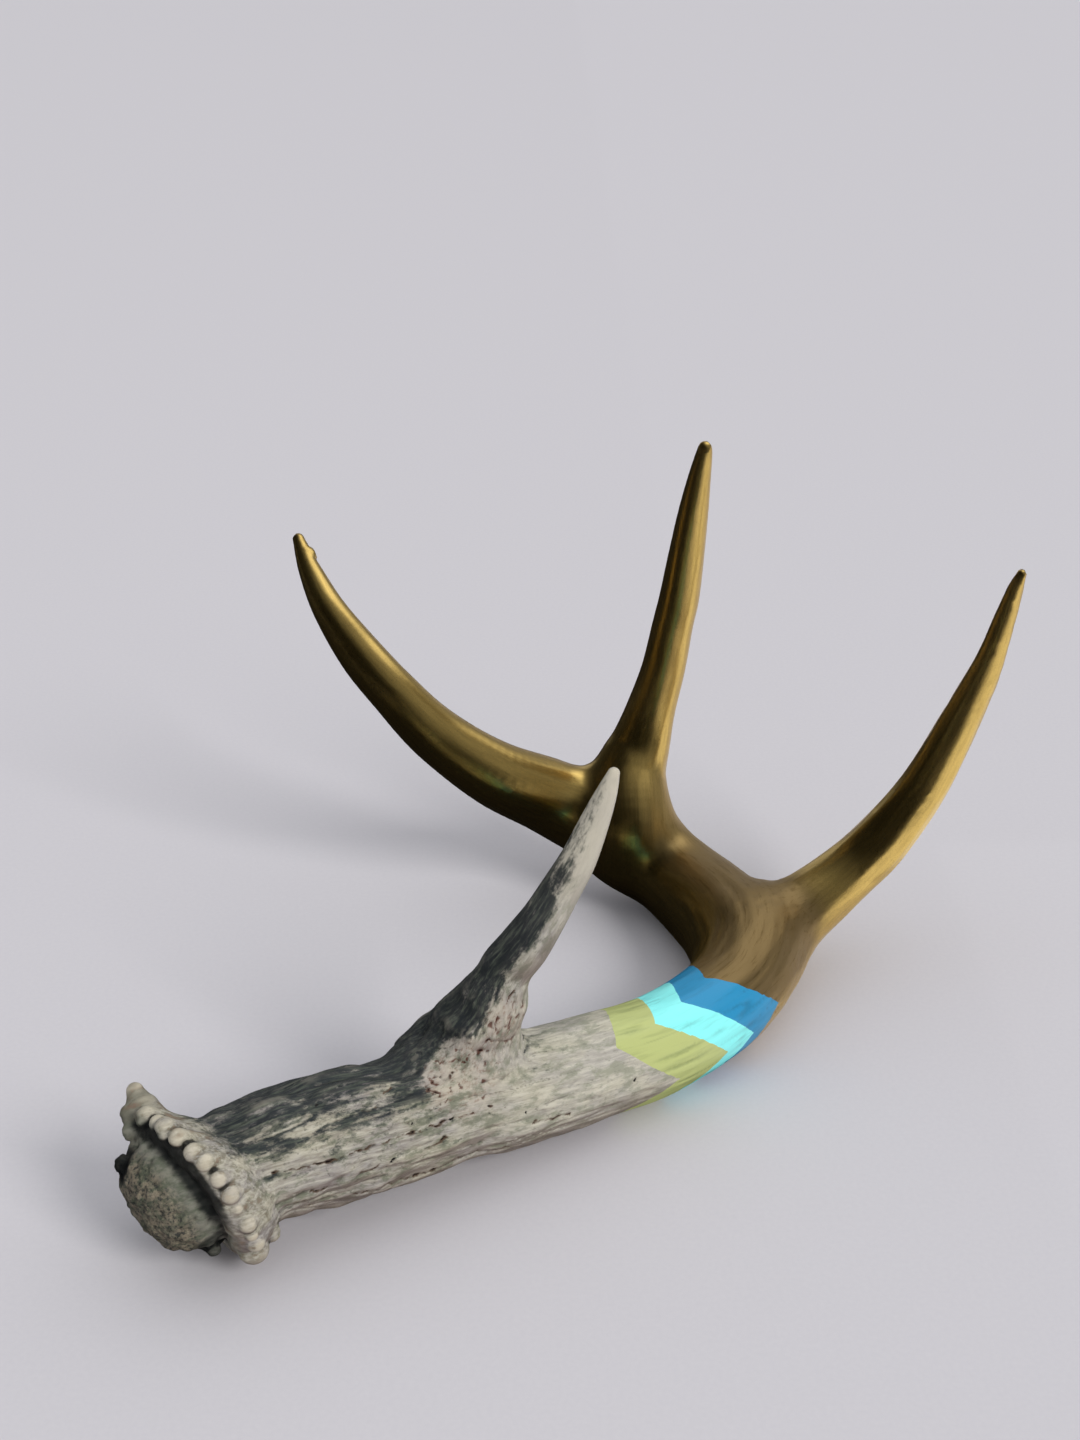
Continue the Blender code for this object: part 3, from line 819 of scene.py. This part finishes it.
# %% Keep the measures on the mesh
PICKED = {
    "hollow": hollow,
    "deep": deep,
    "stain_and_shade": stain_and_shade,
    # painted light and shade: the bone is painted lighter further along the beam and darker near the burr
    "painted_light_falloff": span(beam_length, 60, 125),
    "crack": crack,
    "patch": patch,
    "on_seal": on_seal,
    "painted_burr_shadow": painted_burr_shadow,
    "on_burr": (1 - span(np.abs(burr_height - 1 * MM), 4, 9)) * span(out_from_axis, 19, 21),
    "on_horn": span(toward_horn, 23, 28) * (np.abs(burr_height) < 25 * MM),
    "pit": pit,
    # painted shade on the faces that look down
    "painted_underside_shade": ramp(-normals[:, 2], 0.0, 0.5),
    "dull": dull,
    "crumbly": span(-burr_height, 8, 14),
    "stroke": stroke * painted,
    "tine_share": tine_share,
    "polish": span(tine_rise, 60, 95),
}
for name, values in PICKED.items():
    layer = skin.attributes.new(name, "FLOAT", "POINT")
    layer.data.foreach_set("value", values.astype(np.float32))
for name, values in {"beam_place": beam_place / MM, "tine_place": tine_place / MM, "outward": normals}.items():
    layer = skin.attributes.new(name, "FLOAT_VECTOR", "POINT")
    layer.data.foreach_set("vector", values.astype(np.float32).ravel())
print("measures kept on each point:", len(PICKED) + 3)

# %% [markdown]
# ## Part the skin at the forks
# The library keeps the antler as seven solids, so the fine skin is cut at the same places. The cuts close up
# without a gap. Every piece keeps the outward directions of the whole skin, so that light crosses the cuts
# without a mark.

# %% Cut at the forks
CUTS = [  # branch, millimetres along it, reach of the cut
    ("beam", 112, 30), ("beam", 250, 27), ("beam", 344, 26),
    ("brow_tine", 30, 20), ("second_tine", 36, 20), ("third_tine", 42, 20),
]


def cut_across(net, name, distance, reach):
    """Cut the net square across a branch and part it there."""
    point, way = along_line(name, distance * MM)
    faces = [face for face in net.faces if (face.calc_center_median() - point).length < reach * MM]
    edges = {edge for face in faces for edge in face.edges}
    verts = {vert for face in faces for vert in face.verts}
    cut = bmesh.ops.bisect_plane(net, geom=[*verts, *edges, *faces], plane_co=point, plane_no=way,
                                 dist=0.001 * MM)
    rim = [item for item in cut["geom_cut"] if isinstance(item, bmesh.types.BMEdge)]
    bmesh.ops.split_edges(net, edges=rim)


net = bmesh.new()
net.from_mesh(skin)
for row in CUTS:
    cut_across(net, *row)
bodies = bodies_of(net)
print("bodies after the cuts:", len(bodies))

# %% Name each body by the core point nearest to its middle
PIECES = {  # branch and millimetres along it where the middle lies, slot
    "lower_beam": ("beam", 55, "bare_antler"),
    "mid_beam": ("beam", 185, "banded_paint"),
    "upper_beam": ("beam", 295, "gold_paint"),
    "beam_tip": ("beam", 410, "gold_paint"),
    "brow_tine": ("brow_tine", 72, "bare_antler"),
    "second_tine": ("second_tine", 105, "gold_paint"),
    "third_tine": ("third_tine", 106, "gold_paint"),
}


def closed_piece(body, name):
    """One body as an object of its own, its open cuts closed with a flat face."""
    keep = {vertex.index for vertex in body}
    piece = net.copy()
    piece.verts.ensure_lookup_table()
    others = [vertex for vertex in piece.verts if vertex.index not in keep]
    bmesh.ops.delete(piece, geom=others, context="VERTS")
    rim = [edge for edge in piece.edges if edge.is_boundary]
    caps = bmesh.ops.holes_fill(piece, edges=rim, sides=0)["faces"]
    bmesh.ops.recalc_face_normals(piece, faces=piece.faces)
    piece.faces.index_update()
    cap_numbers = {face.index for face in caps}
    mesh = bpy.data.meshes.new(name)
    piece.to_mesh(mesh)
    piece.free()
    keep_outward(mesh, cap_numbers)
    return new_object(name, mesh)


def keep_outward(mesh, cap_numbers):
    """Give the skin the outward directions of the whole antler, and the caps their own."""
    outward = np.empty(len(mesh.vertices) * 3, np.float32)
    mesh.attributes["outward"].data.foreach_get("vector", outward)
    corners = np.empty(len(mesh.loops), np.int32)
    mesh.loops.foreach_get("vertex_index", corners)
    ways = outward.reshape(-1, 3)[corners]
    for number in cap_numbers:
        face = mesh.polygons[number]
        ways[list(face.loop_indices)] = face.normal
    mesh.shade_smooth()
    mesh.normals_split_custom_set(ways.tolist())
    mesh.attributes.remove(mesh.attributes["outward"])


net.verts.index_update()
middles = {name: along_line(line, at * MM)[0] for name, (line, at, _) in PIECES.items()}
antler = {}
for body in bodies:
    centre = sum((vertex.co for vertex in body), Vector()) / len(body)
    name = min(middles, key=lambda key: (middles[key] - centre).length)
    del middles[name]
    antler[name] = closed_piece(body, f"{name}_skin")
    faces = len(antler[name].data.polygons)
    print(f"{name}: {faces} faces")
net.free()

# %% [markdown]
# ## Small tools for finishes
# A finish is a tree of nodes. Writing each node out takes many lines, so a few helpers make the common ones:
# a measure read from the mesh, noise stretched along the branch, a mix of two colours, and plain sums.

# %% Helpers for node trees


class Finish:
    """A material with short calls for the nodes that these finishes use."""

    def __init__(self, name):
        self.material = bpy.data.materials.new(name)
        self.material.use_nodes = True
        self.tree = self.material.node_tree
        self.shader = self.tree.nodes["Principled BSDF"]

    def put(self, socket, value):
        """Link a socket, or set a plain value."""
        if isinstance(value, bpy.types.NodeSocket):
            self.tree.links.new(value, socket)
        else:
            socket.default_value = value

    def set(self, name, value):
        """The same for an input of the shader itself."""
        self.put(self.shader.inputs[name], value)

    def node(self, kind, feeds=None, **settings):
        """A node with these settings, its inputs fed with sockets or plain values."""
        made = self.tree.nodes.new(kind)
        for key, value in settings.items():
            setattr(made, key, value)
        for key, value in (feeds or {}).items():
            self.put(made.inputs[key], value)
        return made

    def measure(self, name, vector=False):
        read = self.node("ShaderNodeAttribute", attribute_name=name)
        return read.outputs["Vector" if vector else "Fac"]

    def sum(self, operation, *values, clamp=False):
        feeds = dict(enumerate(values))
        return self.node("ShaderNodeMath", feeds, operation=operation, use_clamp=clamp).outputs[0]

    def times(self, first, second):
        return self.sum("MULTIPLY", first, second)

    def shifted(self, noise, by, base):
        """A value that noise moves up and down."""
        return self.sum("MULTIPLY_ADD", self.sum("SUBTRACT", noise, 0.5), by, base)

    def scaled(self, vector, by):
        return self.node("ShaderNodeVectorMath", {0: vector, 1: by}, operation="MULTIPLY").outputs[0]

    def mixed(self, share, first, second, blend="MIX", kind="RGBA"):
        feeds = {"Factor": share, "A": first, "B": second}
        return self.node("ShaderNodeMix", feeds, data_type=kind, blend_type=blend).outputs["Result"]

    def layered(self, colour, *layers):
        """A colour with others laid over it in turn, each given as its mask, thickness and paint."""
        for mask, thickness, paint in layers:
            colour = self.mixed(self.times(mask, thickness), colour, paint)
        return colour

    def noise(self, vector, scale, detail=3.0, rough=0.5):
        feeds = {"Vector": vector, "Scale": scale, "Detail": detail, "Roughness": rough}
        return self.node("ShaderNodeTexNoise", feeds).outputs["Fac"]

    def soft_step(self, value, low, high):
        feeds = {"Value": value, "From Min": low, "From Max": high}
        return self.node("ShaderNodeMapRange", feeds, interpolation_type="SMOOTHSTEP").outputs["Result"]

    def branch_noise(self, stretch, scale, detail=3.0, rough=0.5):
        """Noise in millimetres beside the beam and the tine, drawn out along them and blended."""
        beam, tine = (
            self.noise(self.scaled(self.measure(place, True), (1, 1, 1 / stretch)), scale, detail, rough)
            for place in ("beam_place", "tine_place"))
        return self.mixed(self.measure("tine_share"), beam, tine, kind="FLOAT")

    def wear(self, colour, rough, height, depth, strength):
        """Give the shader its colour and roughness, and a fine height for the light to catch."""
        self.set("Base Color", colour)
        self.set("Roughness", rough)
        feeds = {"Height": height, "Distance": depth, "Strength": strength}
        self.set("Normal", self.node("ShaderNodeBump", feeds).outputs["Normal"])


def tone(red, green, blue):
    """A colour given as on a paint chart, from 0 to 255, in the light that Blender works in."""
    parts = [part / 255 for part in (red, green, blue)]
    return (*[((part + 0.055) / 1.055) ** 2.4 for part in parts], 1.0)

# %% [markdown]
# ## Bare bone
# Weathered antler is cream to pale grey, mottled with green-grey where it lay in the grass, nearly black on
# its upper side, and brown inside its cracks. One noise would look like marble. The colours are laid over
# each other in the order in which they came: bone, grain, green, black stain, dirt in the hollows, cracks.
# Painted light and shade go in among them: lighter along the beam and darker near the burr, shade on the
# underside and in the hollows, a highlight on the high places, and the ring's shadow on the seal. On the
# beam the black stain is partly painted shade.


# %% The look of bare bone
def bone_look(finish):
    """Colour, roughness and height of the bare bone."""
    f = finish
    fibre = f.branch_noise(9.0, 1.1, 4.0, 0.65)
    cloud = f.branch_noise(2.2, 0.12, 3.0, 0.6)
    mottle = f.branch_noise(2.2, 0.30, 5.0, 0.68)
    speck = f.branch_noise(2.0, 0.85, 4.0, 0.7)
    painted_light_falloff, patch, on_burr, on_seal, polish, deep = (
        f.measure(name) for name in ("painted_light_falloff", "patch", "on_burr", "on_seal", "polish", "deep"))
    colour = f.layered(
        f.mixed(f.soft_step(cloud, 0.35, 0.65), tone(180, 174, 155), tone(160, 154, 150)),
        (f.soft_step(fibre, 0.45, 0.66), 0.5, tone(216, 211, 195)),
        (f.soft_step(fibre, 0.50, 0.34), 0.45, tone(116, 106, 98)),
        (f.soft_step(mottle, 0.46, 0.62), 0.8, tone(110, 115, 94)),
        (f.soft_step(speck, 0.54, 0.70), 0.6, tone(74, 74, 66)),
        # painted light further along the beam, and painted shade near the burr
        (painted_light_falloff, 0.28, tone(214, 210, 192)),
        (f.sum("SUBTRACT", 1.0, painted_light_falloff), 0.12, tone(96, 94, 84)),
        (f.times(patch, f.soft_step(mottle, 0.62, 0.40)), 0.5, tone(198, 186, 170)),
        (f.times(patch, f.soft_step(speck, 0.48, 0.66)), 0.5, tone(132, 98, 80)),
        # painted shade on the underside
        (f.measure("painted_underside_shade"), 0.6, tone(118, 98, 90)),
        (on_seal, 0.9, seal_tone(f, mottle)),
        (f.measure("on_horn"), 0.75, tone(116, 113, 97)),
        (polish, 0.85, tone(194, 187, 171)),
    )
    # the black stain, on the beam partly painted shade
    ragged = f.shifted(fibre, 0.8, f.measure("stain_and_shade"))
    ragged = f.shifted(speck, 1.0, f.shifted(mottle, 1.6, ragged))
    black = f.mixed(f.soft_step(fibre, 0.45, 0.72), tone(29, 36, 42), tone(80, 87, 76))
    dirt_and_hollow_shade = f.sum("MULTIPLY_ADD", on_burr, 0.3, 0.6)
    # the high places are painted paler, partly as rubbing and partly as a painted highlight
    rubbed_and_highlit = f.times(f.soft_step(f.times(deep, -1.0), 0.05, 0.5), f.sum("MULTIPLY_ADD", on_burr, 0.35, 0.3))
    painted_burr_shadow = f.shifted(mottle, 0.5, f.measure("painted_burr_shadow"))
    split = f.shifted(speck, 0.5, f.measure("crack"))
    rust = f.mixed(patch, tone(92, 72, 56), tone(104, 62, 50))
    colour = f.layered(
        colour,
        (f.soft_step(ragged, 0.25, 0.85), 0.94, black),
        (f.times(on_burr, f.soft_step(mottle, 0.50, 0.66)), 0.5, tone(140, 104, 88)),
        # dirt and painted shade in the small hollows, and painted shade in the wider hollows between the beads
        (f.soft_step(f.measure("hollow"), 0.01, 0.10), dirt_and_hollow_shade, tone(46, 42, 35)),
        (f.soft_step(deep, 0.06, 0.7), 0.85, tone(28, 30, 28)),
        (rubbed_and_highlit, f.sum("SUBTRACT", 1.0, on_seal, clamp=True), tone(214, 204, 182)),
        # painted shadow of the ring on the seal
        (f.soft_step(painted_burr_shadow, 0.30, 0.90), 0.92, tone(22, 25, 26)),
        (f.soft_step(split, 0.18, 0.55), 0.8, rust),
        (f.soft_step(split, 0.50, 0.88), 1.0, tone(28, 18, 17)),
        (f.soft_step(f.measure("pit"), 0.25, 0.55), 1.0, tone(26, 24, 24)),
    )
    rough = f.sum("MULTIPLY_ADD", fibre, 0.25, 0.45)
    rough = f.sum("MULTIPLY_ADD", polish, -0.2, rough)
    height = f.sum("MULTIPLY_ADD", f.branch_noise(12.0, 2.6, 4.0, 0.7), 0.5, f.times(speck, 0.5))
    height = f.sum("MULTIPLY_ADD", split, -0.5, height)
    return colour, rough, height


def seal_tone(finish, mottle):
    """The seal's own colour: grey-green, crumbly, with black and rusty crumbs."""
    f = finish
    crumb = f.noise(f.node("ShaderNodeTexCoord").outputs["Object"], 900.0, 4.0, 0.75)
    calm = f.mixed(f.soft_step(mottle, 0.40, 0.62), tone(126, 126, 114), tone(98, 103, 88))
    rough = f.layered(
        f.mixed(f.soft_step(mottle, 0.42, 0.60), tone(118, 108, 90), tone(82, 86, 70)),
        (f.soft_step(crumb, 0.50, 0.60), 1.0, tone(34, 38, 36)),
        (f.soft_step(crumb, 0.44, 0.36), 0.5, tone(158, 146, 122)),
    )
    return f.mixed(f.measure("crumbly"), calm, rough)


# %% [markdown]
# ## Gold paint
# The gold is a satin metal paint brushed along the antler. A smooth metal would look like cast brass, so the
# paint gets fine brush grain along the branch, thin places where it is browner, and a faint orange-peel.

# %% The look of gold paint
GOLD_CLEAR = tone(226, 192, 112)
GOLD_DULL = tone(190, 158, 90)
GOLD_FADED = tone(160, 135, 91)
GOLD_BROWN = tone(128, 104, 62)


def gold_look(finish):
    """Colour, roughness and height of the gold paint."""
    f = finish
    brush = f.branch_noise(14.0, 0.9, 4.0, 0.6)
    grainy = f.branch_noise(1.5, 3.0, 3.0, 0.7)
    dull = f.measure("dull")
    clear = f.layered(GOLD_CLEAR, (f.soft_step(brush, 0.35, 0.70), 0.5, GOLD_DULL),
                      (f.soft_step(grainy, 0.50, 0.66), 0.3, GOLD_BROWN))
    faded = f.layered(GOLD_FADED, (f.soft_step(brush, 0.52, 0.66), 0.6, GOLD_BROWN))
    # dirt and painted shade in the hollows
    dirt_and_hollow_shade = f.soft_step(f.measure("hollow"), 0.01, 0.08)
    colour = f.layered(f.mixed(dull, clear, faded), (dirt_and_hollow_shade, 0.5, tone(60, 46, 26)))
    rough = f.sum("MULTIPLY_ADD", grainy, 0.15, 0.22)
    rough = f.sum("MULTIPLY_ADD", dull, 0.22, rough)
    height = f.sum("MULTIPLY_ADD", grainy, 0.35, f.times(brush, 0.65))
    return colour, rough, height


# %% [markdown]
# ## Zigzag bands
# Three bands of satin paint go round the beam, edged in points where masking tape was laid. Their edges could
# be painted on an image, but then they blur when seen closely. Here each edge is a line of marks: at this
# angle round the beam the edge is so far along it. The finish draws it with a colour ramp that serves as a
# graph, so the edges stay sharp at any size.

# %% Edges of the bands: degrees round the beam from the top, millimetres along it
EDGES = {
    "bare to green": [(-160, 151), (-102, 133), (-22, 140), (40, 133), (100, 154), (142, 134)],
    "green to turquoise": [(-155, 168), (-100, 150), (-25, 155), (27, 150), (98, 174), (143, 153)],
    "turquoise to blue": [(-155, 184), (-100, 165), (-30, 172), (15, 163), (98, 188), (145, 168)],
    "blue to gold": [(-155, 200), (-100, 182), (-45, 190), (2, 180), (88, 201), (145, 184)],
}
SPAN = 100.0  # the ramp's white stands for this many millimetres more than its black
START = 120.0


def edge_curve(finish, turn, marks):
    """How far along the beam an edge lies at each angle, from a ramp used as a graph."""
    around = sorted(((degrees % 360) / 360, length) for degrees, length in marks)
    first, last = around[0], around[-1]
    share = (1 - last[0]) / (1 - last[0] + first[0])
    wrap = last[1] + share * (first[1] - last[1])
    graph = finish.node("ShaderNodeValToRGB", {"Fac": turn})
    graph.color_ramp.interpolation = "LINEAR"
    stops = graph.color_ramp.elements
    for position, length in [(0.0, wrap), *around, (1.0, wrap)]:
        level = (length - START) / SPAN
        stop = stops[0] if position == 0 else stops[-1] if position == 1 else stops.new(position)
        stop.position = position
        stop.color = (level, level, level, 1)
    return finish.sum("MULTIPLY_ADD", graph.outputs["Color"], SPAN, START)


# %% Finish of the bare pieces
bare = Finish("bare antler")
bare.wear(*bone_look(bare), 0.35 * MM, 0.8)
bare.set("Specular IOR Level", 0.35)
print("nodes in the bare finish:", len(bare.tree.nodes))

# %% Finish of the gold pieces
gold = Finish("gold paint")
gold.wear(*gold_look(gold), 0.12 * MM, 0.6)
gold.set("Metallic", 1.0)
print("nodes in the gold finish:", len(gold.tree.nodes))

# %% Finish of the banded piece
GREEN = tone(188, 196, 126)
TURQUOISE = tone(144, 250, 248)
BLUE = tone(36, 142, 190)

banded = Finish("banded paint")
up, near, length = banded.node("ShaderNodeSeparateXYZ", {0: banded.measure("beam_place", True)}).outputs
turn = banded.sum("DIVIDE", banded.sum("ARCTAN2", near, up), 2 * math.pi)
turn = banded.sum("FRACT", banded.sum("ADD", turn, 1.0))
length = banded.sum("ADD", length, banded.shifted(banded.branch_noise(1.0, 0.35, 3.0), 0.9, 0.0))
past = [banded.sum("GREATER_THAN", length, edge_curve(banded, turn, marks)) for marks in EDGES.values()]
streak = banded.branch_noise(10.0, 0.55, 3.0, 0.6)
paint = banded.mixed(past[2], banded.mixed(past[1], GREEN, TURQUOISE), BLUE)
shade = banded.times(banded.soft_step(streak, 0.50, 0.70), 0.15)
shade = banded.sum("MULTIPLY_ADD", banded.measure("stroke"), 0.28, shade)
paint = banded.mixed(shade, paint, tone(60, 100, 90), "MULTIPLY")
# dirt and painted shade in the hollows
dirt_and_hollow_shade = banded.times(banded.soft_step(banded.measure("hollow"), 0.01, 0.08), 0.25)
paint = banded.mixed(dirt_and_hollow_shade, paint, tone(70, 90, 80), "MULTIPLY")
paint_look = (paint, banded.sum("MULTIPLY_ADD", streak, 0.15, 0.33), banded.times(streak, 0.6))
looks = zip(bone_look(banded), paint_look, gold_look(banded))
banded.wear(*[banded.mixed(past[3], banded.mixed(past[0], bone, paint), gilt)
              for bone, paint, gilt in looks], 0.2 * MM, 0.6)
banded.set("Metallic", past[3])
print("nodes in the banded finish:", len(banded.tree.nodes))

# %% [markdown]
# ## Fit the pieces to the frame
# Each fine piece stands in for the plain solid of the same name, rides on the body that never moves, and
# takes the finish of its slot.

# %% Dress each solid
FINISHES = {"bare_antler": bare, "banded_paint": banded, "gold_paint": gold}

for name, thing in antler.items():
    slot = PIECES[name][2]
    thing.data.materials.clear()
    thing.data.materials.append(FINISHES[slot].material)
    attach(thing, "root")
    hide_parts(name)
    print(thing.name, "in", slot)

# %% [markdown]
# ## Floor, light and camera
# A plain pale floor, one large soft light from the right and the front, and a dim room round it. The metal
# shows what stands about it, so the dark side of the room matters as much as the light. Cards that only the
# shine can see lie round it, dark to the left and in front, bright to the right, as a photographer lays them.

# %% The floor
FLOOR_HALF = 12.0


def sheet(name, finish, low, high, level=0):
    """A flat sheet between two corners, at a level above the ground."""
    mesh = bpy.data.meshes.new(name)
    (x0, y0), (x1, y1) = low, high
    corners = [(x0, y0, level), (x1, y0, level), (x1, y1, level), (x0, y1, level)]
    mesh.from_pydata(corners, [], [(0, 1, 2, 3)])
    mesh.materials.append(finish.material)
    return new_object(name, mesh)


pale = Finish("pale floor")
paper = pale.noise(pale.node("ShaderNodeTexCoord").outputs["Object"], 600.0, 2.0)
pale.set("Base Color", pale.mixed(paper, tone(206, 203, 208), tone(212, 209, 213)))
pale.set("Roughness", 0.9)
pale.set("Specular IOR Level", 0.1)
floor = sheet("floor", pale, (-FLOOR_HALF, -FLOOR_HALF), (FLOOR_HALF, FLOOR_HALF))

# %% The light
SUN_WAY = Vector((-0.554, 0.623, -0.554))
sun_data = bpy.data.lights.new("window light", "SUN")
sun_data.energy = 1.75
sun_data.angle = math.radians(22)
sun_data.color = (1.0, 0.985, 0.96)
sun = new_object("window light", sun_data)
sun.rotation_euler = SUN_WAY.to_track_quat("-Z", "Y").to_euler()
sun.visible_glossy = False  # the shine comes from the room's own window below

# %% The room


class Room(Finish):
    """The light of the world, with the same short calls."""

    def __init__(self, name):
        world = bpy.data.worlds.new(name)
        bpy.context.scene.world = world
        world.use_nodes = True
        self.tree = world.node_tree
        self.shader = self.tree.nodes["Background"]
        self.sky = self.node("ShaderNodeTexCoord").outputs["Generated"]

    def glow(self, toward, low, high, strength):
        """Light round one direction, fading out sideways."""
        feeds = {0: self.sky, 1: Vector(toward).normalized()}
        along = self.node("ShaderNodeVectorMath", feeds, operation="DOT_PRODUCT").outputs["Value"]
        return self.times(self.soft_step(along, low, high), strength)


room = Room("room")
soft_fill = room.glow((0, 0, 1), -0.3, 1.0, 0.86)
shine = room.glow((0.75, 0.25, 0.60), 0.1, 0.8, 0.25)
for window in (((0.40, 0.45, 0.80), 0.85, 0.985, 1.25), ((-0.2, 0.95, 0.15), 0.90, 0.985, 0.5)):
    shine = room.sum("ADD", shine, room.glow(*window))
for_shine = room.node("ShaderNodeLightPath").outputs["Is Glossy Ray"]
room.set("Color", (0.95, 0.97, 1.0, 1.0))
room.set("Strength", room.mixed(for_shine, soft_fill, shine, kind="FLOAT"))

# %% Cards for the shine: dark to the left and in front, bright to the right
dark = Finish("dark card")
dark.set("Base Color", (0.01, 0.01, 0.012, 1))
bright = Finish("bright card")
bright.set("Base Color", (0, 0, 0, 1))
bright.set("Emission Color", (1, 1, 1, 1))
bright.set("Emission Strength", 0.95)
for finish in (dark, bright):
    finish.set("Roughness", 1.0)
    finish.set("Specular IOR Level", 0.0)


def card(*place):
    """A sheet that only mirrored rays can see."""
    thing = sheet(*place)
    for kind in ("camera", "diffuse", "transmission", "volume_scatter", "shadow"):
        setattr(thing, f"visible_{kind}", False)
    return thing


cards = [
    card("front_card", dark, (-6, -6), (6, -0.15), 0.002),
    card("left_card", dark, (-6, -0.15), (0.05, 6), 0.001),
    card("right_card", bright, (0.14, -0.15), (0.6, 0.15), 0.0015),
]
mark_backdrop(floor, *cards)

# %% The camera
camera_data = bpy.data.cameras.new("camera")
camera_data.lens = 50
camera_data.sensor_width = 36
camera = new_object("camera", camera_data)
camera.location = (-0.021, -0.570, 0.390)
camera.rotation_euler = (math.radians(65), 0, 0)
bpy.context.scene.camera = camera
bpy.context.scene.view_settings.view_transform = "Standard"

# %% [markdown]
# ## Check the size
# The dressed antler has to stay inside the box of the plain solids, so both boxes are measured and the
# largest reach past the solids is printed.

# %% The two boxes
new_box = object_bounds()
past_low = max(plain - fine for plain, fine in zip(cad_box[0], new_box[0]))
past_high = max(fine - plain for plain, fine in zip(cad_box[1], new_box[1]))
print("largest reach past the solids:", max(past_low, past_high))
